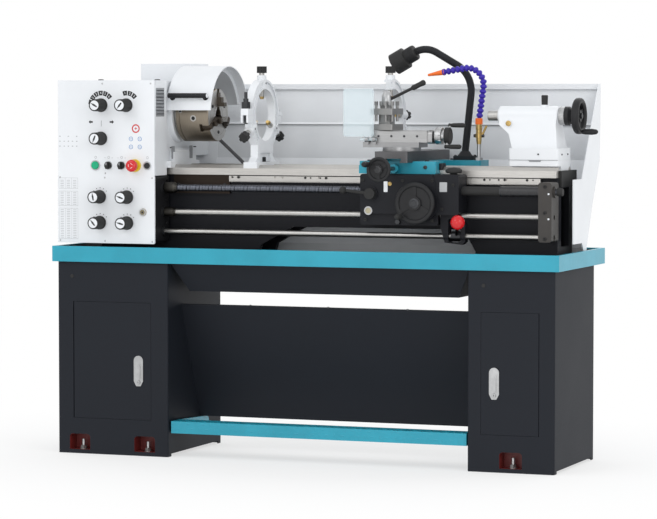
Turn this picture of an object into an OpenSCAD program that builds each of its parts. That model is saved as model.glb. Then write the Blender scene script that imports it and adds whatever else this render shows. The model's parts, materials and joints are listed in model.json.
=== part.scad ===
// Gap-bed manual lathe with a chip tray on two cabinets.
// Millimetres, +X towards the tailstock, +Y away from the operator, +Z up.
// The origin is on the floor, under the spindle axis and the middle of the tray.

/* [Machine] */
// Length of the chip tray
tray_l = 1600; // [1400:10:1900]
// Depth of the chip tray
tray_d = 482; // [430:1:560]
// Height of the cabinets
cabinet_h = 583; // [480:1:700]
// Distance of the tray's front edge from the spindle axis
front_d = 220; // [215:1:240]
// Thickness of the sheet metal
sheet = 3; // [2:0.5:4]
// Height of the bed above the tray floor
bed_h = 281; // [260:1:330]
// Height of the spindle axis above the ways
centre_h = 159; // [150:1:175]

/* [Cabinets] */
// Width of the left cabinet
left_w = 364; // [330:1:420]
// Width of the right cabinet
right_w = 262; // [240:1:320]
// Height of the doors
door_h = 353; // [300:1:380]
// Width of the left door
left_door_w = 256; // [220:1:280]
// Width of the right door
right_door_w = 174; // [150:1:180]
// Height of the lower edge of the doors
door_z = 109; // [100:1:130]
// Width of an anchor pocket
pocket_w = 68; // [50:1:80]
// Height of an anchor pocket
pocket_h = 48; // [40:1:50]
// Diameter of the anchor holes
anchor_d = 18; // [12:1:24]

/* [Tray and guards] */
// Height of the tray rim
rim_h = 47; // [35:1:60]
// Depth of the trough below the tray
trough_h = 85; // [60:1:110]
// Height of the splash guard above the tray floor
splash_h = 534; // [480:1:560]
// Radius of the chuck guard
guard_r = 150; // [140:1:165]
// Length of the chuck guard along the spindle
guard_l = 146; // [130:1:150]
// Thickness of the transparent chip shield
shield_t = 4; // [3:0.5:6]

/* [Bed] */
// Overall width of the ways
bed_w = 186; // [180:1:200]
// Width of each way
way_w = 60; // [52:1:64]
// Thickness of the ways
way_t = 20; // [16:1:26]
// Height of the vee guides
vee_h = 10; // [7:0.5:12]
// Length of the gap bridge
bridge_l = 183; // [150:1:190]

/* [Headstock] */
// Length of the gearbox and control panels
panel_l = 321; // [310:1:340]
// Height of the gearbox
gearbox_h = 205; // [190:1:215]
// Height of the control box
control_h = 286; // [270:1:310]
// Length of the end cover
cover_l = 85; // [70:1:90]
// Diameter of the chuck
chuck_d = 160; // [140:1:165]
// Length of the chuck body
chuck_l = 93; // [80:1:100]
// Diameter of the spindle through bore
spindle_bore = 38; // [30:1:44]
// Diameter of the control knobs
knob_d = 41; // [34:1:46]
// Length of the control knobs
knob_l = 52; // [40:1:60]

/* [Rods] */
// Diameter of the leadscrew
leadscrew_d = 22; // [18:1:24]
// Diameter of the feed rod
feed_rod_d = 18; // [14:1:20]
// Diameter of the control rod
control_rod_d = 17; // [14:1:18]

/* [Carriage] */
// Distance from the tailstock to the cross slide
carriage_gap = 400; // [390:1:440]
// Length of the apron
apron_l = 241; // [225:1:250]
// Height of the apron
apron_h = 149; // [145:1:155]
// Width of the cross slide
cross_w = 102; // [90:1:110]
// Length of the cross slide
cross_l = 390; // [360:1:395]
// Diameter of the swivel base
swivel_d = 114; // [100:1:118]
// Side of the tool post
post_w = 74; // [66:1:78]
// Radius of the carriage handwheel
carriage_wheel_r = 61; // [50:1:66]

/* [Tailstock] */
// Diameter of the quill
quill_d = 30; // [26:1:34]
// Length of the quill that shows
quill_out = 34; // [20:1:60]
// Diameter of the barrel
barrel_d = 56; // [50:1:60]
// Length of the tailstock base
tail_l = 150; // [140:1:170]
// Radius of the tailstock handwheel
tail_wheel_r = 53; // [44:1:60]

/* [Rests] */
// Distance of the steady rest from the chuck face
steady_gap = 143; // [120:1:160]
// Outer radius of the rest rings
ring_r = 108; // [100:1:112]
// Width of the rest rings
ring_w = 30; // [24:1:32]

/* [Fits] */
// Clearance of a turning shaft in its bore, on the radius
fit = 0.05; // [0.02:0.01:0.1]
// Clearance under a slide
slide = 0.2; // [0.1:0.05:0.3]
// Gap between separate pieces
gap = 0.3; // [0.3:0.05:0.5]

/* [Hidden] */
$fn = 64;

// Levels
z_pan = cabinet_h + sheet;
z_rim = cabinet_h + rim_h;
z_way = z_pan + bed_h;
z_axis = z_way + centre_h;
// Tray outline
tray_x0 = -tray_l / 2;
tray_x1 = tray_l / 2;
tray_y0 = -front_d;
tray_y1 = tray_d - front_d;
// Cabinets
cab_y0 = tray_y0 + 10;
cab_y1 = tray_y1 - 62;
left_x0 = tray_x0 + 14;
left_x1 = left_x0 + left_w;
right_x1 = tray_x1 - 15;
right_x0 = right_x1 - right_w;
plinth_h = 66;
foot_h = 12;
foot_l = 25;
roll_r = 4;
left_door_x = left_x0 + 52;
right_door_x = right_x1 - 47;
pivot_r = 2.5;
lip = 18;
// Pedal
pedal_y = 60;
pedal_z = 85;
pedal_pin_r = 6;
// Headstock end
head_x0 = tray_x0 + 13;
panel_x1 = head_x0 + panel_l;
panel_y = tray_y0 + 15;
panel_z = z_way - 22;
head_x1 = panel_x1 - 14;
head_w = bed_w + 34;
box_y1 = -head_w / 2 - gap;
bed_x0 = head_x0 + cover_l + gap;
bed_x1 = tray_x1 - 48;
bed_y = bed_w / 2;
wall_y = bed_y - 18;
wall_t = 18;
ridge_x0 = head_x1 + 25;
vee_front = -bed_y + 24;
vee_rear = bed_y - 43;
bridge_x0 = ridge_x0;
bridge_x1 = bridge_x0 + bridge_l;
// Chuck
nose_x = head_x1 + 20;
chuck_x0 = nose_x + 8;
chuck_face = chuck_x0 + 12 + 2 + chuck_l;
chuck_r = chuck_d / 2;
jaw_w = 18;
jaw_angles = [90, 210, 330];
spindle_r = 40;
// Chuck guard
guard_y = 45;
guard_z = z_axis - 1;
guard_x0 = head_x1 + 8;
hinge_y = guard_y + guard_r - 25;
hinge_z = guard_z + 60;
cabinet_y0 = head_w / 2 + gap;
elec_x1 = head_x1 - 2;
// Rods
rod_y = -135;
lead_z = z_way - 59;
feed_z = z_way - 132;
control_z = z_way - 191;
bracket_x0 = bed_x1 - 32;
bracket_x1 = bed_x1 + 8;
// Carriage
tail_x = bed_x1 - 2 - tail_l / 2;
car_x = tail_x - carriage_gap;
apron_x0 = car_x - 100;
apron_x1 = apron_x0 + apron_l;
apron_y0 = -175;
apron_y1 = -bed_y - 3;
apron_z1 = z_way - 11;
apron_z0 = apron_z1 - apron_h;
saddle_y0 = -130;
saddle_z1 = z_way + 22;
wing_z1 = z_way + 26;
dove_h = 12;
cross_y0 = -175;
cross_z1 = saddle_z1 + 33;
cross_screw_z = z_way + 5;
top_y = -77;
swivel_z1 = cross_z1 + 12;
base_z1 = swivel_z1 + 22;
slide_z1 = z_axis - 43;
top_screw_z = z_axis - 63;
slide_x0 = car_x - 84;
slide_x1 = car_x + 90;
post_x = car_x - 48;
post_a = -8;
post_z0 = slide_z1;
slot_h = 28;
plate_h = 18;
post_z1 = post_z0 + 2 * plate_h + slot_h;
// Tailstock
quill_r = quill_d / 2;
barrel_r = barrel_d / 2;
barrel_x0 = tail_x - 123;
barrel_x1 = tail_x + 60;
tail_base_z1 = z_way + 65;
// Rests
steady_x = chuck_face + steady_gap;
rest_t = 24;
ring_in = ring_r - ring_w;
finger_r = 8;
follow_x = car_x - 64;

// ---- shapes ---------------------------------------------------------------

// Bar along X from a profile in Y and Z
module bar_x(x0, x1) translate([x0, 0, 0]) rotate([90, 0, 90]) linear_extrude(x1 - x0) children();

// Bar along Y from a profile in X and Z
module bar_y(y0, y1) translate([0, y1, 0]) rotate([90, 0, 0]) linear_extrude(y1 - y0) children();

// Plate from a profile in X and Y
module bar_z(z0, z1) translate([0, 0, z0]) linear_extrude(z1 - z0) children();

// Box between two corners
module box(a, b) translate(a) cube(b - a);

// Rounded rectangle between two corners
module round_rect(a, b, r) {
  translate([a[0] + r, a[1]]) square([b[0] - a[0] - 2 * r, b[1] - a[1]]);
  translate([a[0], a[1] + r]) square([b[0] - a[0], b[1] - a[1] - 2 * r]);
  for (x = [a[0] + r, b[0] - r], y = [a[1] + r, b[1] - r]) translate([x, y]) circle(r);
}

// Shaft along X at a height and depth
module rod_x(r, x0, x1, y, z) translate([x0, y, z]) rotate([0, 90, 0]) cylinder(r = r, h = x1 - x0);

// Shaft along Y
module rod_y(r, y0, y1, x, z) translate([x, y1, z]) rotate([90, 0, 0]) cylinder(r = r, h = y1 - y0);

// Shaft between two points, with a ball, flat at its poles, or a child on its far end
module rod_to(a, b, r) {
  d = b - a;
  l = norm(d);
  translate(a) rotate([0, acos(d[2] / l), atan2(d[1], d[0])]) {
    cylinder(r = r, h = l);
    translate([0, 0, l]) children();
  }
}

// Ball knob, its poles cut flat
module ball_knob(r) rotate_extrude() intersection() {
  circle(r);
  translate([0, -0.995 * r]) square([r, 1.99 * r]);
}

// Bent bar that starts upwards: each move is a [length] or a [radius, turn to the left]; a child sits on its end
module neck(moves, r, i = 0) {
  if (i > 0) translate([0, 0, -1.5]) cylinder(r = r + 0.4, h = 3);
  if (i < len(moves)) {
    m = moves[i];
    if (len(m) == 1) {
      cylinder(r = r, h = m[0]);
      translate([0, 0, m[0]]) neck(moves, r, i + 1) children();
    } else {
      translate([-m[0], 0, 0]) rotate([90, 0, 0]) rotate_extrude(angle = m[1]) translate([m[0], 0]) circle(r);
      translate([-m[0], 0, 0]) rotate([0, -m[1], 0]) translate([m[0], 0, 0]) neck(moves, r, i + 1) children();
    }
  } else children();
}

// Turned part along X: a profile of [distance, radius] pairs closed on the axis
module turned_x(p, x, y, z) translate([x, y, z]) rotate([0, 90, 0]) rotate_extrude()
  polygon(concat([[0, p[0][0]]], [for (q = p) [q[1], q[0]]], [[0, p[len(p) - 1][0]]]));

// Turned part towards the operator, from a point on a front face
module turned_front(p, x, y, z) translate([x, y, z]) rotate([90, 0, 0]) rotate_extrude()
  polygon(concat([[0, p[0][0]]], [for (q = p) [q[1], q[0]]], [[0, p[len(p) - 1][0]]]));

// ---- base -----------------------------------------------------------------

// Anchor pocket in the front of a plinth
module pocket_block(x) box([x - 4, cab_y0, 0], [x + pocket_w + 4, cab_y0 + 52, plinth_h - sheet]);
module pocket_space(x) {
  bar_y(cab_y0 - 1, cab_y0 + 48) {
    round_rect([x, foot_h + 4], [x + pocket_w, foot_h + pocket_h - 0.5], 10);
    translate([x, foot_h]) square([pocket_w, pocket_h / 2]);
  }
  translate([x + pocket_w / 2, cab_y0 + 27, -1]) cylinder(d = anchor_d, h = foot_h + 2);
}

// Front and rear copies
module both_sides() {
  children();
  translate([0, cab_y0 + cab_y1, 0]) mirror([0, 1, 0]) children();
}

// Sheet metal cabinet with a framed door opening; the pedal turns in the boss at boss_x
module cabinet(x0, x1, door_x, door_w, pivot_x, pockets, boss_x) {
  inner = [[x0 + sheet, cab_y0 + sheet], [x1 - sheet, cab_y1 - sheet]];
  difference() {
    union() {
      difference() {
        bar_z(0, cabinet_h) round_rect([x0, cab_y0], [x1, cab_y1], 6);
        bar_z(plinth_h, cabinet_h - sheet) round_rect(inner[0], inner[1], 4);
        bar_z(-1, plinth_h - sheet) round_rect(inner[0], inner[1], 4);
        for (x = [x0 - 1, x1 - sheet - 1])
          box([x, cab_y0 + foot_l, -1], [x + sheet + 2, cab_y1 - foot_l, 8]);
      }
      both_sides() for (x = pockets) pocket_block(x);
      bar_y(cab_y0, cab_y0 + lip) translate([door_x - 1 - sheet, door_z - 1 - sheet])
        square([door_w + 2 + 2 * sheet, door_h + 2 + 2 * sheet]);
      rod_x(13, boss_x - 8, boss_x + 8, pedal_y, pedal_z);
    }
    box([door_x - 1, cab_y0 - 1, door_z - 1], [door_x + door_w + 1, cab_y0 + lip + 1, door_z + door_h + 1]);
    both_sides() for (x = pockets) pocket_space(x);
    rod_x(pedal_pin_r + fit, boss_x - 20, boss_x + 20, pedal_y, pedal_z);
    translate([pivot_x, cab_y0 + roll_r, door_z - 10]) cylinder(r = pivot_r + fit, h = door_h + 20);
    rod_y(4, cab_y0 - 1, cab_y0 + sheet + 1, x0 + 48, cabinet_h - 44);
  }
}

module left_pedestal() color("#2e333a")
  cabinet(left_x0, left_x1, left_door_x, left_door_w, left_door_x + roll_r,
    [left_x0 + 38, left_x1 - 43 - pocket_w], left_x1 - 8);

module right_pedestal() color("#2e333a")
  cabinet(right_x0, right_x1, right_door_x - right_door_w, right_door_w, right_door_x - roll_r,
    [(right_x0 + right_x1 - pocket_w) / 2], right_x0 + 8);

// Leaning screen between the cabinets, and the trough below the tray
module front_panel() {
  top = cabinet_h - 128;
  color("#2e333a") bar_x(left_x1, right_x0) {
    polygon([[-110, top], [30, 102], [30 + sheet * 1.1, 102], [-110 + sheet * 1.1, top]]);
    translate([-110, top - sheet]) square([24, sheet]);
    translate([30, 102]) square([26, sheet]);
  }
  color("#3a4048") difference() {
    trough(0);
    trough(sheet);
  }
}

// Trough body, shrunk by its wall for the inside
module trough(t) {
  z0 = cabinet_h - trough_h + t;
  z1 = cabinet_h + (t > 0 ? 1 : 0);
  intersection() {
    bar_x(left_x1, right_x0) polygon([[-193 + t, z1], [-150 + t, z0], [110 - t, z0], [150 - t, z1]]);
    bar_y(-300, 300) polygon([[left_x1 + gap + t, z1], [left_x1 + 46 + t, z0],
      [right_x0 - 46 - t, z0], [right_x0 - gap - t, z1]]);
  }
}

module chip_tray() color("#36b3cf") difference() {
  box([tray_x0, tray_y0, cabinet_h], [tray_x1, tray_y1, z_rim]);
  box([tray_x0 + sheet, tray_y0 + sheet, z_pan], [tray_x1 - sheet, tray_y1 - sheet, z_rim - sheet]);
  box([tray_x0 + 12, tray_y0 + 12, z_pan], [tray_x1 - 12, tray_y1 - 12, z_rim + 1]);
}

// Vee ridge of the ways, larger by a clearance when it is cut as a groove
module vee(y, c = 0) polygon([[y - 12 - c, z_way - (c > 0 ? 1 : 0)], [y - 12 - c, z_way + c / 2],
  [y - 2 - c, z_way + vee_h + c], [y + 2 + c, z_way + vee_h + c],
  [y + 12 + c, z_way + c / 2], [y + 12 + c, z_way - (c > 0 ? 1 : 0)]]);

module ways(x0, x1) bar_x(x0, x1) {
  translate([-bed_y, z_way - way_t]) square([way_w, way_t]);
  translate([bed_y - way_w, z_way - way_t]) square([way_w, way_t]);
}

module ridges(x0, x1) bar_x(x0, x1) {
  vee(vee_front);
  vee(vee_rear);
}

module bed() {
  under = z_way - 174;
  foot_a = bed_x0 + 512;
  foot_b = bed_x1 - 250;
  seat_z = z_way - 77;
  color("#26282c") difference() {
    union() {
      ways(bed_x0, bed_x1);
      ridges(bridge_x1, bed_x1);
      for (y = [-wall_y, wall_y - wall_t]) bar_y(y, y + wall_t) polygon([
        [bed_x0, z_pan], [foot_a, z_pan], [foot_a + 14, z_pan + 51], [foot_a + 118, under],
        [foot_b - 36, under], [foot_b, z_pan + 44], [foot_b, z_pan], [bed_x1, z_pan],
        [bed_x1, z_way - way_t], [bed_x0, z_way - way_t]]);
      for (s = [[bed_x0, foot_a], [foot_b, bed_x1]])
        box([s[0], -bed_y, z_pan], [s[1], bed_y, z_pan + 20]);
      for (x = [bed_x0, bed_x1 - 16]) box([x, -wall_y, z_pan], [x + 16, wall_y, z_way - way_t]);
      for (x = [foot_a + 140 : 120 : foot_b - 60])
        box([x, -wall_y + 1, under], [x + 12, wall_y - 1, z_way - 40]);
      for (x = [bridge_x0 - 16, bridge_x1 + 4]) box([x, -wall_y + 1, z_pan], [x + 12, wall_y - 1, seat_z]);
    }
    box([bridge_x0, -bed_y - 1, seat_z], [bridge_x1, bed_y + 1, z_way + vee_h + 1]);
    box([bed_x1 - 20, -40, z_pan + 60], [bed_x1 + 1, 40, z_way - 50]);
  }
  // Gap bridge
  color("#6b5f55") translate([0, 0, 0]) {
    ways(bridge_x0 + gap, bridge_x1 - gap);
    ridges(bridge_x0 + gap, bridge_x1 - gap);
    for (y = [-bed_y + 8, bed_y - 8 - 46])
      box([bridge_x0 + gap, y, seat_z + gap], [bridge_x1 - gap, y + 46, z_way - way_t]);
    box([bridge_x0 + 40, -bed_y + 43, seat_z + gap], [bridge_x1 - 40, bed_y - 43, seat_z + 30]);
  }
  // Rack below the front way
  color("#8a8d90") difference() {
    box([bridge_x1, -bed_y + 3, z_way - 39], [bed_x1 - 48, -wall_y - gap, z_way - 23]);
    for (x = [bridge_x1 + 10 : 140 : bed_x1 - 60], d = [0, 24])
      rod_y(3.5, -bed_y, -bed_y + 7, x + d, z_way - 27);
  }
}

// Headstock casting with its spindle boss, and the electrical box behind it
module headstock() {
  x0 = bed_x0;
  z1 = z_axis + 102;
  half = head_w / 2;
  color("#e9ecee") difference() {
    union() {
      bar_x(x0, head_x1) {
        round_rect([-half, z_way + 40], [half, z1], 18);
        translate([-half, z_way]) square([head_w, 60]);
      }
      difference() {
        box([head_x1 - 1, -half, z_way], [ridge_x0, half, z_way + 59]);
        for (s = [-1, 1]) translate([head_x1 + 9, s * (half - 12) - 14, z_way + 20]) cube([30, 28, 60]);
        translate([0, 0, z_way + 59]) rotate([90, 0, 0])
          translate([ridge_x0, 0, -half - 1]) cylinder(r = 12, h = head_w + 2);
      }
      rod_x(chuck_r + 2, head_x1 - 1, head_x1 + 18, 0, z_axis);
    }
    rod_x(spindle_r + fit, x0 - 1, head_x1 + 20, 0, z_axis);
    rod_x(chuck_r - 14, head_x1 + 14, head_x1 + 20, 0, z_axis);
  }
  color("#e9ecee") difference() {
    union() {
      bar_z(z_way + 33, z_axis + 157) round_rect([elec_x1 - 172, cabinet_y0], [elec_x1, cabinet_y0 + 138], 5);
      rod_x(12, elec_x1 - 1, elec_x1 + 6, hinge_y, hinge_z);
    }
    rod_x(6 + fit, elec_x1 - 20, elec_x1 + 10, hinge_y, hinge_z);
    // Groove round the rear door
    bar_y(cabinet_y0 + 136, cabinet_y0 + 140) difference() {
      translate([elec_x1 - 164, z_way + 41]) square([156, 241 + z_axis - z_way - 132 - 8]);
      translate([elec_x1 - 162, z_way + 43]) square([152, 237 + z_axis - z_way - 132 - 8]);
    }
  }
}

// Shaft seats and hardware positions on the control panel, from the spindle axis
knob_x = [head_x0 + 147, head_x0 + 230, head_x0 + 146];
knob_z = [z_axis + 30, z_axis + 30, z_axis - 70];
feed_x = [head_x0 + 141, head_x0 + 231];
feed_kz = [panel_z - 65, panel_z - 143];
button_z = panel_z + 30;
start_x = head_x0 + 127;
select_x = [head_x0 + 170, head_x0 + 213];
stop_x = head_x0 + 258;
jog_x = head_x0 + 298;
pin_r = 5;
button_r = [12, 9];

module control_box() {
  z1 = panel_z + control_h;
  color("#e9ecee") difference() {
    union() {
      bar_z(panel_z, z1) round_rect([head_x0, panel_y], [panel_x1, box_y1], 5);
      rod_y(16, panel_y - 3, panel_y + 1, start_x, button_z);
      rod_y(13.5, panel_y - 3, panel_y + 1, jog_x, button_z);
      for (x = select_x) rod_y(13, panel_y - 3, panel_y + 1, x, button_z);
      for (i = [0, 1, 2]) rod_y(24, panel_y - 1.5, panel_y + 1, knob_x[i], knob_z[i]);
    }
    for (i = [0, 1, 2]) rod_y(pin_r + fit, panel_y - 2, panel_y + 22, knob_x[i], knob_z[i]);
    rod_y(button_r[0] + 0.2, panel_y - 4, panel_y + 14, start_x, button_z);
    rod_y(button_r[1] + 0.2, panel_y - 4, panel_y + 14, jog_x, button_z);
    for (x = select_x) rod_y(pin_r + fit, panel_y - 4, panel_y + 22, x, button_z);
    rod_y(pin_r + fit, panel_y - 5, panel_y + 22, stop_x, button_z);
    // Louvres on the right side
    for (z = [0:7]) box([panel_x1 - 5, panel_y + 14, z_axis + 2 + z * 10], [panel_x1 + 1, panel_y + 70, z_axis + 6 + z * 10]);
    // Seam round the front plate
    difference() {
      box([head_x0 - 1, panel_y + 5, panel_z - 1], [panel_x1 + 1, panel_y + 6.5, z1 + 1]);
      bar_z(panel_z - 2, z1 - 2) round_rect([head_x0 + 2, panel_y], [panel_x1 - 2, box_y1], 4);
    }
  }
  // Base of the stop button
  color("#f2d230") difference() {
    rod_y(19, panel_y - 9, panel_y - gap, stop_x, button_z);
    rod_y(pin_r + 1, panel_y - 12, panel_y + 2, stop_x, button_z);
  }
}

module gearbox() {
  z0 = panel_z - gearbox_h;
  color("#e9ecee") difference() {
    bar_y(panel_y, panel_y + 6) round_rect([head_x0, z0], [panel_x1, panel_z], 4);
    for (x = feed_x, z = feed_kz) rod_y(pin_r + gap, panel_y - 1, panel_y + 7, x, z);
    rod_y(12, panel_y - 1, panel_y + 7, head_x0 + 282, panel_z - 110);
  }
  color("#26282c") difference() {
    union() {
      bar_y(panel_y + 6 + gap, -bed_y - gap) round_rect([head_x0 + 3, z0 + 3], [panel_x1 - 2, panel_z - gap], 8);
      rod_x(20, panel_x1 - 4, panel_x1 + 4, rod_y, lead_z);
      rod_x(16, panel_x1 - 4, panel_x1 + 4, rod_y, feed_z);
      rod_x(14, panel_x1 - 4, panel_x1 + 4, rod_y, control_z);
    }
    for (x = feed_x, z = feed_kz) rod_y(pin_r + fit, panel_y, panel_y + 28, x, z);
    rod_x(9 + fit, panel_x1 - 22, panel_x1 + 6, rod_y, lead_z);
    rod_x(7 + fit, panel_x1 - 22, panel_x1 + 6, rod_y, feed_z);
    rod_x(control_rod_d / 2 + fit, panel_x1 - 22, panel_x1 + 6, rod_y, control_z);
  }
  // Oil sight
  color("#c9b061") rod_y(11.5, panel_y - 2, panel_y + 5, head_x0 + 282, panel_z - 110);
}

// Cover of the change gears on the left end
module end_cover() color("#e9ecee") {
  half = head_w / 2;
  difference() {
    bar_x(head_x0, head_x0 + cover_l) {
      round_rect([-half, panel_z + 20], [half, z_axis + 102], 14);
      translate([-half, panel_z + gap]) square([head_w, 60]);
      round_rect([-bed_y + gap, panel_z - gearbox_h], [half, panel_z + 60], 14);
    }
    // Way through for bar stock, and room for the spindle's tail
    rod_x(28, head_x0 - 1, head_x0 + cover_l + 1, 0, z_axis);
    rod_x(spindle_r + 1, head_x0 + 50, head_x0 + cover_l + 1, 0, z_axis);
    // Seam where the cover meets its frame
    difference() {
      bar_x(head_x0 + cover_l - 14, head_x0 + cover_l - 12)
        translate([-half - 1, panel_z - gearbox_h - 1]) square([head_w + 2, 600]);
      bar_x(head_x0 + cover_l - 15, head_x0 + cover_l - 11) {
        translate([-half + 3, panel_z + 4]) square([head_w - 6, z_axis + 95 - panel_z]);
        translate([-bed_y + 4, panel_z - gearbox_h + 4]) square([half + bed_y - 8, 60 + gearbox_h]);
      }
    }
  }
}

// Splash guard behind the bed, folded from sheet, with a wing at the right
module splash_guard() {
  y1 = tray_y1 - 12;
  top = z_pan + splash_h;
  y0 = bed_y + 12;
  p = [[y0, z_pan], [y0, z_pan + 50], [y1 - 84, z_way - 105], [y1 - 7, z_way + 25],
    [y1 - 3, z_way + 130], [y1, top]];
  x1 = tray_x1 - 13;
  color("#e9ecee") {
    difference() {
      union() {
        bar_x(head_x1 + 28, x1) {
          polygon(concat(p, [for (i = [len(p) - 1:-1:0]) p[i] + [sheet, 0]]));
          translate([y1 - 10, top - sheet]) square([10 + sheet, sheet]);
          translate([y1 - 10, top - 16]) square([sheet, 16]);
        }
        bar_x(x1 - sheet, x1) polygon([[y0, z_pan], [y0, z_pan + 50], [y1 - 84, z_way - 105],
          [y1 - 7, z_way + 25], [y1, top], [y1 - 14, top], [y1 - 195, z_way - 26],
          [y1 - 283, z_way - 26], [y1 - 283, z_pan + 67], [60, z_pan + 67]]);
      }
      // Room for the bed end and its bracket
      box([x1 - 50, -bed_y + 3, z_pan - 1], [x1 + 1, bed_y - 3, z_pan + 40]);
    }
  }
}

// I-section ring of a rest in the plane across the bed
module rest_ring(x) difference() {
  bar_x(x - rest_t / 2, x + rest_t / 2) translate([0, z_axis]) difference() {
    circle(ring_r, $fn = 96);
    circle(ring_in, $fn = 96);
  }
  for (s = [-1, 1]) bar_x(x + s * rest_t / 2 - 4, x + s * rest_t / 2 + 4) translate([0, z_axis]) difference() {
    circle(ring_r - 7, $fn = 96);
    circle(ring_in + 7, $fn = 96);
  }
}

// Places a child that is drawn upwards from the axis at an angle round the spindle
module radial(x, a) translate([x, 0, z_axis]) rotate([a - 90, 0, 0]) children();

module finger_boss(x, a) radial(x, a) translate([0, 0, ring_in - 4]) cylinder(r = 14, h = ring_w + 16);
module finger_bore(x, a, c) radial(x, a) cylinder(r = finger_r + c, h = ring_r + 40);

// Finger with its brass tip and star knob
module finger(x, a, tip, knob) radial(x, a) {
  color("#b9904a") translate([0, 0, tip]) cylinder(r1 = 5, r2 = finger_r, h = 8);
  color("#9aa0a4") translate([0, 0, tip + 8]) cylinder(r = finger_r, h = knob - tip - 8);
  color("#1c1d1f") translate([0, 0, knob]) difference() {
    cylinder(r = 15, h = 20);
    for (k = [0:5]) rotate(60 * k) translate([18, 0, -1]) cylinder(r = 5.5, h = 22);
  }
}

rest_hinge_y = ring_r + 16;
clamp_y = -ring_r - 18;

module steady_rest_base() color("#e9ecee") {
  difference() {
    union() {
      intersection() {
        rest_ring(steady_x);
        box([steady_x - 50, -400, z_axis - 300], [steady_x + 50, 400, z_axis]);
      }
      for (a = [205, 335]) finger_boss(steady_x, a);
      bar_x(steady_x - 22, steady_x + 22) translate([-bed_y, z_way]) square([bed_w, 18]);
      bar_x(steady_x - rest_t / 2, steady_x + rest_t / 2) polygon([[-bed_y + 8, z_way + 16],
        [bed_y - 8, z_way + 16], [61, z_way + 34], [61, z_axis - 70], [-61, z_axis - 70], [-61, z_way + 34]]);
      // Front ear and rear hinge cheeks
      box([steady_x - 12, clamp_y - 12, z_axis - 22], [steady_x + 12, -ring_r + 12, z_axis]);
      for (s = [-1, 1]) translate([steady_x + s * 8.5, 0, 0]) {
        rod_x(10, -3.5, 3.5, rest_hinge_y, z_axis);
        box([-3.5, ring_r - 14, z_axis - 26], [3.5, rest_hinge_y + 2, z_axis - 4]);
      }
      box([steady_x - 12, ring_r - 16, z_axis - 40], [steady_x + 12, ring_r - 4, z_axis - 12]);
    }
    rod_x(ring_in, steady_x - 30, steady_x + 30, 0, z_axis);
    for (a = [205, 335]) finger_bore(steady_x, a, fit);
    for (s = [-1, 1]) box([steady_x + s * 14 - 8, -41, z_way + 18], [steady_x + s * 14 + 8, 41, z_axis - ring_r - 6]);
    bar_x(steady_x - 30, steady_x + 30) {
      vee(vee_front, gap);
      vee(vee_rear, gap);
    }
    // Open slot of the clamp bolt
    box([steady_x - 6, clamp_y - 13, z_axis - 23], [steady_x + 6, clamp_y + 7, z_axis + 1]);
    rod_x(4 + fit, steady_x - 14, steady_x + 14, rest_hinge_y, z_axis);
    rod_x(11, steady_x - 4.8, steady_x + 4.8, rest_hinge_y, z_axis);
  }
  // Clamping nut on the bed
  translate([steady_x, 0, z_way + 18 + gap]) cylinder(r = 13, h = 14, $fn = 6);
}

module steady_rest_top() color("#e9ecee") difference() {
  union() {
    intersection() {
      rest_ring(steady_x);
      box([steady_x - 50, -400, z_axis + gap], [steady_x + 50, 400, z_axis + 300]);
    }
    finger_boss(steady_x, 90);
    box([steady_x - 12, clamp_y - 12, z_axis + gap], [steady_x + 12, -ring_r + 12, z_axis + 20]);
    translate([steady_x, clamp_y, z_axis - 26]) cylinder(r = 5, h = 96);
    translate([steady_x, clamp_y, z_axis + 20]) cylinder(r = 14, h = 20, $fn = 6);
    translate([steady_x, clamp_y, z_axis + 40]) cylinder(r = 8, h = 10);
    rod_x(10, steady_x - 4.6, steady_x + 4.6, rest_hinge_y, z_axis);
    box([steady_x - 4.6, ring_r - 14, z_axis + gap], [steady_x + 4.6, rest_hinge_y + 2, z_axis + 26]);
    rod_x(4, steady_x - 13.5, steady_x + 13.5, rest_hinge_y, z_axis);
  }
  rod_x(ring_in, steady_x - 30, steady_x + 30, 0, z_axis);
  finger_bore(steady_x, 90, fit);
}

module steady_finger_1() finger(steady_x, 90, 48, ring_r + 19);
module steady_finger_2() finger(steady_x, 205, 48, ring_r + 34);
module steady_finger_3() finger(steady_x, 335, 48, ring_r + 34);

// Right end bearing of the three rods, the end plate of the bed and the fixed screw cover
module end_bracket() {
  color("#6b625a") difference() {
    union() {
      bar_y(rod_y - 29, -bed_y - gap) round_rect([bracket_x0, z_way - 203], [bracket_x1, z_way - 31], 8);
      rod_x(17, bracket_x1 - 1, bracket_x1 + 5, rod_y, lead_z);
    }
    rod_x(9 + fit, bracket_x0 - 1, bracket_x1 + 10, rod_y, lead_z);
    rod_x(7 + fit, bracket_x0 - 1, bracket_x1 + 1, rod_y, feed_z);
    rod_x(control_rod_d / 2 + fit, bracket_x0 - 1, bracket_x1 + 1, rod_y, control_z);
  }
  color("#1c1d1f") box([bed_x1 + gap, -63, z_way - 47], [bed_x1 + 8, bed_y, z_way]);
  color("#1c1d1f") difference() {
    rod_x(15.5, bracket_x0 - 122, bracket_x0 - gap, rod_y, lead_z);
    rod_x(13.8, bracket_x0 - 123, bracket_x0, rod_y, lead_z);
  }
}

// ---- spindle, chuck and guard ---------------------------------------------

module spindle() color("#b8bcc0") difference() {
  tail = head_x0 + 14;
  turned_x([[0, 26], [44, 26], [44, spindle_r], [nose_x - 4.7 - tail, spindle_r],
    [nose_x - 4.7 - tail, chuck_r - 16], [chuck_x0 - tail, chuck_r - 16]], tail, 0, z_axis);
  rod_x(spindle_bore / 2, head_x0, chuck_x0 + 20, 0, z_axis);
}

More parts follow.
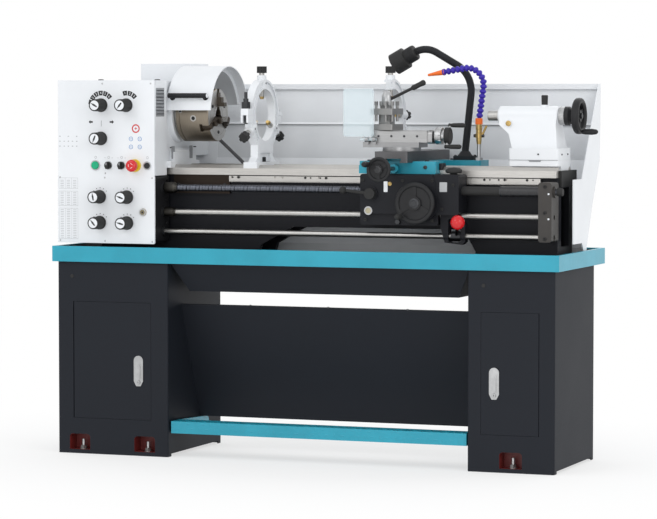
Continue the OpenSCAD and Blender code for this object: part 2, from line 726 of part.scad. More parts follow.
module chuck_body() color("#8d9196") difference() {
  turned_x([[0, chuck_r - 1.5], [1.5, chuck_r], [12, chuck_r], [12, chuck_r - 2.5], [14, chuck_r - 2.5],
    [14, chuck_r], [12 + chuck_l, chuck_r], [14 + chuck_l, chuck_r - 2]],
    chuck_x0, 0, z_axis);
  rod_x(spindle_bore / 2 + 1, nose_x, chuck_face + 10, 0, z_axis);
  for (a = jaw_angles) {
    radial(chuck_face - 9, a) translate([-22, -jaw_w / 2, 0]) cube([40, jaw_w, chuck_r + 5]);
    radial(chuck_face - 9, a) translate([-22, -jaw_w / 2 - 4, 0]) cube([10, jaw_w + 8, chuck_r + 5]);
    radial(chuck_face - 62, a + 60) translate([0, 0, chuck_r - 22]) cylinder(r = 9, h = 30);
    radial(chuck_face - 62, a + 60) translate([-4.5, -4.5, chuck_r - 34]) cube([9, 9, 30]);
  }
}

// Stepped jaw that slides in a tee slot of the chuck
module jaw(a) color("#55585c") radial(chuck_face, a) {
  w = jaw_w - 2 * slide;
  translate([0, w / 2, 0]) rotate([90, 0, 0]) linear_extrude(w) polygon([
    [-30.5, 26], [24, 26], [24, 38], [14, 38], [14, 54], [4, 54], [4, 68], [-30.5, 68]]);
  translate([-30.8, -w / 2 - 3.8, 30]) cube([9.6, w + 7.6, 36]);
}
module jaw_1() jaw(jaw_angles[0]);
module jaw_2() jaw(jaw_angles[1]);
module jaw_3() jaw(jaw_angles[2]);

module chuck_guard() {
  x1 = guard_x0 + guard_l;
  handle = 159;
  color("#e9ecee") {
    difference() {
      union() {
        bar_x(guard_x0, x1) guard_sector(guard_r, guard_r - sheet, 174, 12);
        bar_x(guard_x0, guard_x0 + sheet) difference() {
          guard_sector(guard_r, guard_r - 19, 174, 12);
          translate([0, z_axis]) circle(chuck_r + 5);
        }
        bar_x(guard_x0, guard_x0 + 24) difference() {
          translate([hinge_y, hinge_z]) circle(14);
          translate([guard_y, guard_z]) difference() {
            circle(guard_r + 40, $fn = 96);
            circle(guard_r - 1, $fn = 96);
          }
        }
      }
    }
    rod_x(6, elec_x1 - 18, guard_x0 + 40, hinge_y, hinge_z);
  }
  // Bar handle on two posts
  color("#1c1d1f") translate([0, guard_y, guard_z]) for (x = [guard_x0 + 18, x1 - 20]) rotate([handle - 90, 0, 0])
    translate([x, 0, guard_r - 2]) cylinder(r = 5, h = 20);
  color("#1c1d1f") translate([0, guard_y, guard_z]) rotate([handle - 90, 0, 0])
    translate([guard_x0 + 8, 0, guard_r + 17]) rotate([0, 90, 0]) cylinder(r = 7, h = guard_l - 16);
}

// Part of a ring between two angles, seen along the spindle
module guard_sector(r1, r0, a0, a1) translate([guard_y, guard_z]) difference() {
  circle(r1, $fn = 120);
  circle(r0, $fn = 120);
  polygon([[0, 0], 400 * [cos(a0), sin(a0)], [-400, -400], [400, -400], 400 * [cos(a1), sin(a1)]]);
}

// ---- controls -------------------------------------------------------------

// Knob with a grip of shallow flutes, its skirt and its pin
module knob(x, z, y = panel_y) {
  r = knob_d / 2;
  color("#1c1d1f") difference() {
    turned_front([[-18, pin_r], [1.8, pin_r], [1.8, r], [8, r], [9, r - 1.5], [knob_l - 1, r - 2.5], [knob_l, r - 4]], x, y, z);
    for (a = [0:15:345]) translate([x + r * cos(a), y - 10, z + r * sin(a)]) rotate([90, 0, 0])
      cylinder(r = 1.7, h = knob_l);
    rod_y(r - 6, y - knob_l - 1, y - knob_l + 1.5, x, z);
  }
}
module speed_knob_1() knob(knob_x[0], knob_z[0]);
module speed_knob_2() knob(knob_x[1], knob_z[1]);
module direction_knob() knob(knob_x[2], knob_z[2]);
module feed_knob_1() knob(feed_x[0], feed_kz[0]);
module feed_knob_2() knob(feed_x[1], feed_kz[0]);
module feed_knob_3() knob(feed_x[0], feed_kz[1]);
module feed_knob_4() knob(feed_x[1], feed_kz[1]);

module start_button() color("#12a068")
  turned_front([[-8, button_r[0]], [6, button_r[0]], [7.5, button_r[0] - 1.5]], start_x, panel_y, button_z);
module jog_button() color("#1c1d1f")
  turned_front([[-8, button_r[1]], [6, button_r[1]], [7, button_r[1] - 1]], jog_x, panel_y, button_z);

// Selector switch with a grip bar
module selector(x) color("#1c1d1f") {
  turned_front([[-18, pin_r], [3.3, pin_r], [3.3, 11], [10, 10.5]], x, panel_y, button_z);
  bar_y(panel_y - 19, panel_y - 9) round_rect([x - 3.5, button_z - 11], [x + 3.5, button_z + 11], 3);
}
module selector_left() selector(select_x[0]);
module selector_right() selector(select_x[1]);

module stop_button() color("#d8202a")
  turned_front([[-18, pin_r], [15, pin_r], [15, 12], [20, 16], [24, 18], [30, 18], [34, 15], [36, 9]],
    stop_x, panel_y, button_z);

// ---- rods -----------------------------------------------------------------

module leadscrew() color("#9aa0a4") turned_x([
  [0, 9], [26, 9], [26, 16], [30, 17], [56, 17], [60, 13], [66, 13], [66, leadscrew_d / 2],
  [bracket_x0 - panel_x1 + 18, leadscrew_d / 2], [bracket_x0 - panel_x1 + 18, 9],
  [bracket_x1 - panel_x1 + 44, 9], [bracket_x1 - panel_x1 + 46, 7]], panel_x1 - 20, rod_y, lead_z);

module feed_rod() color("#9aa0a4") turned_x([
  [0, 7], [26, 7], [26, 14], [54, 14], [54, 11], [60, 11], [60, feed_rod_d / 2],
  [bracket_x0 - panel_x1 + 18, feed_rod_d / 2], [bracket_x0 - panel_x1 + 18, 7],
  [bracket_x0 - panel_x1 + 50, 7]], panel_x1 - 20, rod_y, feed_z);

module control_rod() color("#9aa0a4")
  rod_x(control_rod_d / 2, panel_x1 - 20, bracket_x1 - 4, rod_y, control_z);

// ---- carriage -------------------------------------------------------------

wheel_x = apron_x0 + 186;
wheel_z = z_way - 94;
lever_x = apron_x0 + 40;
lever_z = z_way - 68;
box_x1 = apron_x1 + 66;
ball_x = apron_x1 + 78;

// Bores of the rods in the apron and its bracket
module rod_bores(x0, x1) {
  rod_x(leadscrew_d / 2 + 0.1, x0, x1, rod_y, lead_z);
  rod_x(feed_rod_d / 2 + 0.1, x0, x1, rod_y, feed_z);
  rod_x(control_rod_d / 2 + 0.1, x0, x1, rod_y, control_z);
}

module apron() {
  color("#26282c") difference() {
    union() {
      bar_y(apron_y0 + 12, apron_y1) round_rect([apron_x0, apron_z0], [apron_x1, apron_z1], 8);
      bar_y(apron_y0, apron_y1) {
        round_rect([apron_x0 + 6, apron_z0 + 34], [apron_x1 - 6, apron_z1 - 3], 16);
        translate([wheel_x, wheel_z]) circle(58);
      }
      translate([0, 0, 0]) bar_y(apron_y0 + 3, apron_y1 + 0.01)
        round_rect([apron_x1 - 10, apron_z0 + 32], [box_x1, apron_z1], 8);
      rod_y(24, apron_y0 - 8, apron_y0 + 1, wheel_x, wheel_z);
      rod_y(20, apron_y0 - 6, apron_y0 + 1, lever_x, lever_z);
    }
    rod_bores(apron_x0 - 1, box_x1 + 1);
    rod_y(9 + fit, apron_y0 - 10, apron_y0 + 34, wheel_x, wheel_z);
    rod_y(7 + fit, apron_y0 - 10, apron_y0 + 24, lever_x, lever_z);
    rod_y(10, apron_y0 - 1, apron_y0 + 4, apron_x0 + 30, apron_z0 + 42);
  }
  // Bracket that carries the control lever
  color("#26282c") difference() {
    union() {
      bar_y(rod_y - 14, rod_y + 14) polygon([[apron_x1 + 3, apron_z0 + 32 - gap], [apron_x1 + 3, apron_z0 - 6],
        [apron_x1 + 16, control_z - 18], [apron_x1 + 68, control_z - 24], [box_x1 + 12, control_z - 16],
        [box_x1 + 12, apron_z0 + 2], [box_x1 - 4, apron_z0 + 32 - gap]]);
      for (x = [apron_x1 + 14, box_x1 - 2]) rod_x(17, x, x + 14, rod_y, control_z);
    }
    bar_y(rod_y - 20, rod_y + 20) round_rect([apron_x1 + 28 - 1, control_z - 22 + 4], [box_x1 - 2 + 1, apron_z0 + 20], 6);
    rod_bores(apron_x1, box_x1 + 20);
  }
  // Moving tube of the screw cover
  color("#1c1d1f") difference() {
    rod_x(13.5, box_x1 + gap, box_x1 + gap + 126, rod_y, lead_z);
    rod_x(leadscrew_d / 2 + 0.4, box_x1, box_x1 + 140, rod_y, lead_z);
  }
}

// H-shaped saddle with vee grooves below and a dovetail above
module saddle() color("#36b3cf") {
  cx0 = car_x - cross_w / 2;
  cx1 = car_x + cross_w / 2;
  difference() {
    union() {
      bar_z(z_way + slide, wing_z1) {
        round_rect([apron_x0 - 16, saddle_y0], [apron_x1 - 18, -52], 8);
        round_rect([apron_x0 - 6, 50], [apron_x1 + 60, 138], 8);
        translate([cx0 - 18, -100]) square([cross_w + 36, 200]);
      }
      bar_y(saddle_y0, -bed_y - 0.5) round_rect([apron_x0 - 16, apron_z1 + gap], [apron_x1 - 18, z_way + 14], 2);
      rod_y(13, saddle_y0 - 22, saddle_y0 + 1, car_x, cross_screw_z);
      bar_y(saddle_y0 + 6, 138) polygon([[car_x - 26, wing_z1 - 5], [car_x + 26, wing_z1 - 5],
        [car_x + 32, saddle_z1 + dove_h], [car_x - 32, saddle_z1 + dove_h]]);
    }
    // Channel of the cross slide
    difference() {
      box([cx0 - 0.3, saddle_y0 - 1, saddle_z1], [cx1 + 0.3, 140, wing_z1 + 1]);
      bar_y(saddle_y0, 140) polygon([[car_x - 26, saddle_z1 - 1], [car_x + 26, saddle_z1 - 1],
        [car_x + 32, saddle_z1 + dove_h], [car_x - 32, saddle_z1 + dove_h]]);
    }
    bar_x(apron_x0 - 30, apron_x1 + 80) {
      vee(vee_front, slide);
      vee(vee_rear, slide);
    }
    box([apron_x0 - 40, -44, z_way - 1], [cx0 - 30, 44, wing_z1 + 1]);
    // Bearing of the cross screw
    rod_y(6 + fit, saddle_y0 - 30, saddle_y0 + 60, car_x, cross_screw_z);
  }
  // Wipers at the four corners of the ways
  for (x = [apron_x0 - 16 - 6, apron_x1 - 18 + gap]) difference() {
    bar_x(x, x + 6 - gap) round_rect([-bed_y - 8, z_way + 0.5], [-55, z_way + 20], 3);
    bar_x(x - 1, x + 8) vee(vee_front, 0.5);
  }
}

// Handwheel that faces the operator: rim, three arms, hub, dial and its grip
module front_wheel(x, y, z, r, rim, hub_r, grip, shaft, arms = [90, 210, 330]) {
  translate([x, y, z]) rotate([90, 0, 0]) {
    color("#26282c") rotate_extrude($fn = 96) translate([r - rim, 0]) circle(rim, $fn = 32);
    color("#26282c") for (a = arms) rotate(a) translate([0, -5, -4]) cube([r - rim, 10, 8]);
    color("#26282c") translate([0, 0, -8]) cylinder(r = hub_r, h = 16);
    color("#1c1d1f") rotate(grip) translate([r - rim, 0, 0]) {
      cylinder(r = 4, h = 14);
      translate([0, 0, 10]) rotate_extrude() polygon([[0, 0], [6, 0], [8, 10], [9, 30], [7, 42], [3, 46], [0, 46]]);
    }
  }
  color("#9aa0a4") rod_y(shaft[0], y + 7, y + shaft[1], x, z);
}

module carriage_wheel() {
  front_wheel(wheel_x, apron_y0 - 34, wheel_z, carriage_wheel_r, 7, 20, 225, [9, 62]);
  color("#c8ccd0") rod_y(28, apron_y0 - 24, apron_y0 - 9, wheel_x, wheel_z);
}

module feed_lever() {
  color("#1c1d1f") {
    rod_y(7, apron_y0 - 20, apron_y0 + 20, lever_x, lever_z);
    rod_y(16, apron_y0 - 22, apron_y0 - 6 - gap, lever_x, lever_z);
    rod_to([lever_x, apron_y0 - 16, lever_z], [lever_x - 80, apron_y0 - 26, lever_z + 10], 5) ball_knob(11);
  }
}

module control_lever() {
  x0 = apron_x1 + 28 + gap;
  x1 = box_x1 - 2 - gap;
  color("#55585c") difference() {
    union() {
      rod_x(15, x0 + 6, x1 - 1, rod_y, control_z);
      rod_to([x1 - 16, rod_y, control_z], [ball_x, rod_y - 80, control_z + 44], 5)
        color("#d8202a") ball_knob(21);
    }
    rod_x(control_rod_d / 2 + 0.1, x0 - 1, x1 + 1, rod_y, control_z);
  }
}

module cross_slide() color("#3a3c40") {
  y1 = cross_y0 + cross_l;
  difference() {
    union() {
      bar_z(saddle_z1 + slide, cross_z1) round_rect([car_x - cross_w / 2, cross_y0], [car_x + cross_w / 2, y1], 4);
      translate([car_x, top_y, cross_z1 - 1]) cylinder(r = swivel_d / 2 - 8, h = 1);
    }
    bar_y(cross_y0 - 1, y1 + 1) {
      polygon([[car_x - 26 - slide, saddle_z1 - 1], [car_x + 26 + slide, saddle_z1 - 1],
        [car_x + 32 + slide, saddle_z1 + dove_h + slide], [car_x - 32 - slide, saddle_z1 + dove_h + slide]]);
      // Tee slot at the rear
    }
    for (s = [[6, 26], [12, 17]]) translate([car_x - s[0], 60, cross_z1 - (s[0] == 6 ? 20 : 18)]) cube([2 * s[0], 200, s[0] == 6 ? 30 : 8]);
    translate([car_x, top_y, cross_z1 - 12]) cylinder(r = 10 + fit, h = 20);
  }
}

module cross_wheel() {
  y = -280;
  front_wheel(car_x, y, cross_screw_z, 37, 5.5, 14, 150, [6, -y - bed_y - 2], [30, 150, 270]);
  color("#c8ccd0") rod_y(14, y + 10, y + 34, car_x, cross_screw_z);
}

module swivel_base() color("#55585c") {
  x0 = car_x - 108;
  x1 = car_x + 66;
  difference() {
    union() {
      translate([car_x, top_y, cross_z1 + slide]) cylinder(r = swivel_d / 2, h = swivel_z1 - cross_z1 - slide, $fn = 96);
      bar_x(x0, x1) polygon([[top_y - 40, swivel_z1 - 1], [top_y + 40, swivel_z1 - 1], [top_y + 40, base_z1 - 8],
        [top_y + 24, base_z1 - 8], [top_y + 32, base_z1], [top_y - 32, base_z1], [top_y - 24, base_z1 - 8],
        [top_y - 40, base_z1 - 8]]);
      translate([car_x, top_y, cross_z1 - 11]) cylinder(r = 10, h = 14);
      // Ears of the shield hinge
      for (x = [car_x - 95, car_x - 72]) bar_x(x, x + 8) {
        translate([shield_y, base_z1]) circle(7);
        translate([shield_y, base_z1 - 14]) square([13, 17]);
      }
    }
    rod_x(4 + fit, x0, x1, shield_y, base_z1);
    // Groove of the angle scale
    translate([car_x, top_y, swivel_z1 - 4]) difference() {
      cylinder(r = swivel_d / 2 + 1, h = 1.5);
      cylinder(r = swivel_d / 2 - 1.5, h = 1.5);
    }
  }
}

module compound_slide() {
  color("#8d9196") difference() {
    union() {
      bar_x(slide_x0, slide_x1) polygon([[top_y - 38, base_z1 - 8 + slide], [top_y + 38, base_z1 - 8 + slide],
        [top_y + 38, slide_z1 - 3], [top_y + 35, slide_z1], [top_y - 35, slide_z1], [top_y - 38, slide_z1 - 3]]);
      bar_x(slide_x1, slide_x1 + 14) round_rect([top_y - 34, base_z1 - 12], [top_y + 34, slide_z1 - 2], 8);
    }
    bar_x(slide_x0 - 1, slide_x1 + 20) polygon([[top_y - 24 - slide, base_z1 - 8], [top_y + 24 + slide, base_z1 - 8],
      [top_y + 32 + slide, base_z1 + slide], [top_y - 32 - slide, base_z1 + slide]]);
    rod_x(6 + fit, slide_x1 - 20, slide_x1 + 20, top_y, top_screw_z + 4);
    translate([post_x, top_y, slide_z1 - 14]) cylinder(r = 8 + fit, h = 20);
  }
}

module compound_wheel() {
  x = slide_x1 + 14 + gap;
  z = top_screw_z + 4;
  color("#c8ccd0") difference() {
    turned_x([[0, 20], [4, 25], [22, 25], [22, 16], [32, 14], [32, 12]], x, top_y, z);
    for (a = [0:30:330]) translate([x + 14, top_y + 26 * cos(a), z + 26 * sin(a)]) rotate([0, 90, 0]) cylinder(r = 2.5, h = 9);
  }
  color("#9aa0a4") rod_x(6, x - 24, x + 4, top_y, z);
  color("#26282c") rod_x(15, x + 31, x + 46, top_y, z);
  for (a = [60, 240]) {
    q = [x + 39, top_y + 36 * cos(a), z + 36 * sin(a)];
    color("#26282c") rod_to([x + 39, top_y, z], q, 3.5);
    color("#1c1d1f") turned_x([[0, 4.5], [2, 6], [8, 5], [16, 6.5], [46, 7], [51, 4]], q[0] - 5, q[1], q[2]);
  }
}

// Four-way tool post with its clamp screws
module tool_post() color("#b8bcc0") translate([post_x, top_y, 0]) rotate(post_a) {
  h = post_w / 2;
  difference() {
    union() {
      for (z = [post_z0 + slide, post_z0 + plate_h + slot_h])
        bar_z(z, z + plate_h - (z < post_z0 + 1 ? slide : 0)) round_rect([-h, -h], [h, h], 4);
      bar_z(post_z0 + plate_h - 1, post_z0 + plate_h + slot_h + 1) round_rect([-18, -18], [18, 18], 2);
      translate([0, 0, post_z0 - 13]) cylinder(r = 8, h = 20);
      for (k = [0:3], s = [-20, 12]) rotate(90 * k) translate([s, -h + 8, 0]) {
        translate([0, 0, post_z0 + plate_h + 8]) cylinder(r = 4, h = slot_h + plate_h + 4);
        translate([-4, -4, post_z1 + 9]) cube([8, 8, 12]);
      }
    }
    translate([0, 0, post_z1 - 6]) cylinder(r = 14, h = 10);
  }
}

module tool_post_lever() {
  color("#8d9196") translate([post_x, top_y, 0]) rotate_extrude() polygon([[0, post_z1 - 6 + slide],
    [13.6, post_z1 - 6 + slide], [13.6, post_z1 + 6], [15, post_z1 + 9], [15, post_z1 + 38], [9, post_z1 + 50],
    [6, post_z1 + 52], [0, post_z1 + 52]]);
  color("#26282c") rod_to([post_x + 4, top_y, post_z1 + 24], [post_x + 110, top_y + 13, post_z1 + 76], 4.5)
    color("#1c1d1f") rotate_extrude() polygon([[0, -38], [6, -38], [8, -34], [7.4, -12], [8.6, -2], [8, 3], [4, 6],
      [0, 6]]);
}

// Hinged transparent shield on a rail at the front of the compound base
shield_y = top_y - 52;
shield_x = [car_x - 165, car_x - 70];
module chip_shield() {
  color("#bcd8e6") bar_y(shield_y - shield_t / 2, shield_y + shield_t / 2)
    round_rect([shield_x[0], base_z1 + 8], [shield_x[1], base_z1 + 150], 8);
  color("#55585c") rod_x(4, shield_x[0] + 52, shield_x[1] + 8, shield_y, base_z1);
  color("#55585c") for (x = [shield_x[0] + 60, shield_x[1] - 14])
    box([x, shield_y - 3.5, base_z1 - 2], [x + 8, shield_y + 3.5, base_z1 + 14]);
}

// ---- lamp, coolant and rests ----------------------------------------------

lamp_y = 110;
lamp_x = car_x + 134;

module work_lamp() color("#1c1d1f") {
  bar_z(wing_z1, wing_z1 + 12) round_rect([lamp_x - 32, lamp_y - 24], [lamp_x + 32, lamp_y + 24], 8);
  translate([lamp_x, lamp_y, wing_z1 + 12]) cylinder(r1 = 22, r2 = 13, h = 14);
  translate([lamp_x, lamp_y, wing_z1 + 24]) rotate([0, 6, 0]) neck([[173], [90, 66], [75], [70, 59]], 10.5)
    // Shade, open at its mouth
    rotate_extrude() polygon([[0, -14], [13, -14], [21, -8], [22, 22], [33, 62], [33, 74], [31, 74], [31, 62],
      [20, 24], [0, 24]]);
}

coolant_x = car_x + 190;
coolant_y = 70;

module coolant_line() translate([coolant_x, coolant_y, 0]) {
  color("#c8ccd0") translate([0, 0, wing_z1]) cylinder(r = 6, h = z_axis - 66 - wing_z1);
  color("#c8ccd0") translate([0, 0, wing_z1]) cylinder(r = 12, h = 8, $fn = 6);
  color("#b9904a") {
    translate([0, 0, z_axis - 68]) cylinder(r = 10, h = 26);
    rod_y(6, -16, 0, 0, z_axis - 54);
    box([-4, -18, z_axis - 58], [30, -15, z_axis - 50]);
  }
  color("#f07828") translate([0, 0, z_axis - 42.5]) cylinder(r = 12, h = 34);
  color("#3c28a0") translate([0, 0, z_axis - 14]) rotate([0, 8, 0]) neck([[99], [50, 54], [50, 54], [66]], 9.5)
    color("#f07828") translate([0, 0, -1]) cylinder(r1 = 9, r2 = 3.5, h = 52);
}

module follow_rest() color("#e9ecee") {
  difference() {
    union() {
      intersection() {
        rest_ring(follow_x);
        bar_x(follow_x - 40, follow_x + 40) translate([0, z_axis]) difference() {
          circle(ring_r + 30);
          polygon([[0, 0], 300 * [cos(102), sin(102)], [-300, -300], [100, -300], 300 * [cos(-48), sin(-48)]]);
        }
      }
      for (a = [90, 0]) finger_boss(follow_x, a);
      bar_x(follow_x - 10, follow_x + 10) polygon([[88, wing_z1], [128, wing_z1], [120, z_axis - 30],
        [96, z_axis - 44], [74, z_axis - 72]]);
      bar_z(wing_z1, wing_z1 + 14) round_rect([follow_x - 20, 78], [follow_x + 11, 136], 6);
    }
    for (a = [90, 0]) finger_bore(follow_x, a, gap);
    rod_x(ring_in, follow_x - 30, follow_x + 30, 0, z_axis);
  }
  for (a = [90, 0]) finger(follow_x, a, 50, ring_r + 18);
}

// ---- tailstock ------------------------------------------------------------

module tailstock() {
  x0 = tail_x - tail_l / 2;
  x1 = tail_x + tail_l / 2;
  split = z_way + 31;
  base_y = 66;
  color("#26282c") difference() {
    bar_z(z_way + slide, split - gap) round_rect([x0, -base_y], [x1, base_y], 6);
    bar_x(x0 - 1, x1 + 1) {
      vee(vee_rear, slide);
      translate([-base_y - 1, z_way - 1]) square([base_y - 34, vee_h + 4]);
    }
  }
  // Body: a barrel on a casting that narrows upwards
  color("#e9ecee") difference() {
    union() {
      bar_z(split, tail_base_z1) round_rect([x0, -base_y], [x1, base_y], 6);
      intersection() {
        bar_x(x0 - 60, x1 + 20) polygon([[-52, tail_base_z1 - 2], [52, tail_base_z1 - 2], [40, z_axis - 50],
          [barrel_r, z_axis], [-barrel_r, z_axis], [-40, z_axis - 50]]);
        bar_y(-80, 80) polygon([[x0 + 6, tail_base_z1 - 2], [x1 - 8, tail_base_z1 - 2], [barrel_x1 - 2, z_axis - 26],
          [barrel_x1 - 2, z_axis], [barrel_x0 + 8, z_axis], [barrel_x0 + 8, z_axis - 26], [x0 - 8, z_axis - 52]]);
      }
      turned_x([[0, barrel_r - 4], [4, barrel_r], [barrel_x1 - barrel_x0 - 3, barrel_r], [barrel_x1 - barrel_x0, barrel_r - 3]],
        barrel_x0, 0, z_axis);
      translate([barrel_x0 + 137, 0, z_axis]) cylinder(r = 13, h = barrel_r + 4);
      rod_y(11, -barrel_r - 6, 0, barrel_x0 + 38, z_axis - 22);
    }
    rod_x(quill_r + fit, barrel_x0 - 1, barrel_x1 - 26, 0, z_axis);
    rod_x(9 + fit, barrel_x1 - 30, barrel_x1 + 1, 0, z_axis);
    translate([barrel_x0 + 137, 0, z_axis + quill_r + 2]) cylinder(r = 6 + fit, h = 40);
  }
  color("#b9904a") rod_y(8, -barrel_r - 13, -barrel_r - 6 - gap, barrel_x0 + 38, z_axis - 22);
}

module quill() color("#b8bcc0") difference() {
  turned_x([[0, quill_r - 1.5], [1.5, quill_r], [quill_out + 108, quill_r], [quill_out + 108, quill_r - 1]],
    barrel_x0 - quill_out, 0, z_axis);
  turned_x([[-1, 12.2], [0, 12], [80, 10]], barrel_x0 - quill_out, 0, z_axis);
  box([barrel_x0 - quill_out + 12, -3, z_axis - quill_r - 1], [barrel_x0 + 200, 3, z_axis - quill_r + 2.5]);
}

module tail_wheel() {
  x = barrel_x1 + gap;
  color("#c8ccd0") difference() {
    turned_x([[0, 24], [3, 27], [18, 27], [30, 20], [32, 20]], x, 0, z_axis);
    for (a = [0:20:340]) translate([x + 4, 27.5 * cos(a), z_axis + 27.5 * sin(a)]) rotate([0, 90, 0]) cylinder(r = 1.2, h = 14);
  }
  color("#9aa0a4") rod_x(9, x - 22, x + 1, 0, z_axis);
  color("#1c1d1f") translate([x + 58, 0, z_axis]) rotate([0, 90, 0]) {
    rotate_extrude($fn = 96) translate([tail_wheel_r - 7, 0]) circle(7, $fn = 32);
    translate([0, 0, -26.3]) cylinder(r1 = 15, r2 = 17, h = 32);
    for (a = [0, 120, 240]) rotate(a) translate([10, -5, -6]) cube([tail_wheel_r - 14, 10, 9]);
    rotate(0) translate([tail_wheel_r - 7, 0, 0]) {
      cylinder(r = 4, h = 14);
      translate([0, 0, 9]) rotate_extrude() polygon([[0, 0], [6, 0], [8, 10], [9, 30], [7, 44], [3, 48], [0, 48]]);
    }
  }
}

module quill_lock() {
  x = barrel_x0 + 137;
  color("#9aa0a4") translate([x, 0, z_axis + quill_r + 4]) cylinder(r = 6, h = 30);
  color("#9aa0a4") translate([x, 0, z_axis + barrel_r + 4 + gap]) cylinder(r = 12, h = 12);
  color("#1c1d1f") {
    rod_to([x, 0, z_axis + barrel_r + 12], [x + 34, -30, z_axis + barrel_r + 24], 4.5) ball_knob(9);
  }
}

// ---- doors and pedal ------------------------------------------------------

// Door with a rolled edge round its pivots; side is 1 when the pivots are at its left
module door(x0, side) translate([x0, cab_y0, 0]) scale([1, 1, 1]) mirror([side < 0 ? 1 : 0, 0, 0]) {
  w = side > 0 ? left_door_w : right_door_w;
  z0 = door_z;
  z1 = door_z + door_h;
  color("#2e333a") {
    difference() {
      union() {
        box([roll_r, 0, z0], [w, sheet, z1]);
        translate([roll_r, roll_r, z0]) cylinder(r = roll_r, h = z1 - z0);
        // Folded edges
        box([roll_r + 8, 0, z0], [w - sheet, 10, z0 + sheet]);
        box([roll_r + 8, 0, z1 - sheet], [w - sheet, 10, z1]);
        box([w - 2 * sheet, 0, z0], [w - sheet, 10, z1]);
      }
      bar_y(-1, sheet + 1) translate([w - 40, z0 + 140]) circle(9);
    }
    translate([roll_r, roll_r, z0 - 4]) cylinder(r = pivot_r, h = 5);
    translate([roll_r, roll_r, z1 - 1]) cylinder(r = pivot_r, h = 5);
  }
  // Latch plate with its flush lever
  color("#b8bcc0") {
    bar_y(-2.5, 0) {
      translate([w - 55, z0 + 117]) square([30, 62]);
      polygon([[w - 55, z0 + 117], [w - 25, z0 + 117], [w - 33, z0 + 102], [w - 47, z0 + 102]]);
      translate([w - 40, z0 + 179]) intersection() {
        circle(15);
        translate([-15, 0]) square([30, 15]);
      }
    }
    bar_y(-4, -2) round_rect([w - 48, z0 + 122], [w - 32, z0 + 170], 5);
    bar_y(-1, 12) translate([w - 40, z0 + 140]) circle(8);
  }
}

module left_door() door(left_door_x, 1);
module right_door() door(right_door_x, -1);

module foot_pedal() color("#36b3cf") {
  x0 = left_x1 + 2;
  x1 = right_x0 - 2;
  front = cab_y0 + 10;
  difference() {
    union() {
      // Tread folded at the front and the rear
      box([x0 + 10, front, pedal_z + 20], [x1 - 10, front + 62, pedal_z + 23]);
      box([x0 + 10, front, pedal_z - 13], [x1 - 10, front + 3, pedal_z + 23]);
      box([x0 + 10, front + 59, pedal_z + 6], [x1 - 10, front + 62, pedal_z + 23]);
      for (x = [x0 + 4, x1 - 10]) bar_x(x, x + 6) {
        polygon([[front, pedal_z - 13], [front + 62, pedal_z - 13], [pedal_y, pedal_z - 14], [pedal_y, pedal_z + 14],
          [front + 62, pedal_z + 23], [front, pedal_z + 23]]);
        translate([pedal_y, pedal_z]) circle(14);
      }
    }
    // Stamped treads
    for (x = [x0 + 40 : 30 : x1 - 50], s = [0, 1])
      translate([x + 15 * s, front + 18 + 26 * s, pedal_z + 22]) rotate(s * 90 + 45) translate([-8, -1.5, 0]) cube([16, 3, 2]);
  }
  rod_x(pedal_pin_r, x0 - 18, x0 + 8, pedal_y, pedal_z);
  rod_x(pedal_pin_r, x1 - 8, x1 + 18, pedal_y, pedal_z);
}

left_pedestal();
right_pedestal();
front_panel();
chip_tray();
bed();
headstock();
control_box();
gearbox();
end_cover();
splash_guard();
steady_rest_base();
end_bracket();
spindle();
chuck_body();
jaw_1();
jaw_2();
jaw_3();
chuck_guard();
speed_knob_1();
speed_knob_2();
direction_knob();
feed_knob_1();
feed_knob_2();
feed_knob_3();
feed_knob_4();
start_button();
jog_button();
selector_left();
selector_right();
stop_button();
leadscrew();
feed_rod();
control_rod();
apron();
saddle();
carriage_wheel();
feed_lever();
control_lever();
cross_slide();
cross_wheel();
swivel_base();
compound_slide();
compound_wheel();
tool_post();
tool_post_lever();
chip_shield();
work_lamp();
coolant_line();
steady_rest_top();
steady_finger_1();
steady_finger_2();
steady_finger_3();
follow_rest();
tailstock();
quill();
tail_wheel();
quill_lock();
left_door();
right_door();
foot_pedal();
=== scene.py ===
"""Looks of a gap-bed manual lathe: finishes, small fittings, stage and camera."""

import json
import logging
from dataclasses import dataclass, field
from enum import Enum, IntEnum
from math import cos, pi, radians, sin
from typing import Any, Iterable, Optional, Sequence

import bmesh
import bpy
from mathutils import Matrix, Vector

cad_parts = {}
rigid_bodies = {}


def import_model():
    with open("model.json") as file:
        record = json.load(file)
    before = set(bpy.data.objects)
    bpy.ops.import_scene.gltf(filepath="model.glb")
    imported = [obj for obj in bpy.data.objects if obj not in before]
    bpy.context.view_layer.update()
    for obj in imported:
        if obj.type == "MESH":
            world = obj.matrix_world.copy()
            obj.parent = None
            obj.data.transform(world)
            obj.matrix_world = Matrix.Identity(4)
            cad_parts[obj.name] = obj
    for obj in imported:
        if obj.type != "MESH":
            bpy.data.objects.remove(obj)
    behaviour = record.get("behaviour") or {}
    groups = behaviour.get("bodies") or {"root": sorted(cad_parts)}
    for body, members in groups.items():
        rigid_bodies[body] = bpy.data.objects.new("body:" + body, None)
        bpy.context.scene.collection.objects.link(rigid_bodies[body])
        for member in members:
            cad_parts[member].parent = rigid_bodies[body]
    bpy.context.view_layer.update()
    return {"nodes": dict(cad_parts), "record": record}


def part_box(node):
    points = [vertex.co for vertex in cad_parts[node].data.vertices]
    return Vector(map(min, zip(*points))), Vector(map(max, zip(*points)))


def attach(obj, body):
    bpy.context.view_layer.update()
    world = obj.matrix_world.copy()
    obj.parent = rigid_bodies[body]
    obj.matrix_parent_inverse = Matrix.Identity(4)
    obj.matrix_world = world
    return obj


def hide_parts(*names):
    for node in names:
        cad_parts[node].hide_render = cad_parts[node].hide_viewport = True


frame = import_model()
log = logging.getLogger("lathe")
built: list[str] = []

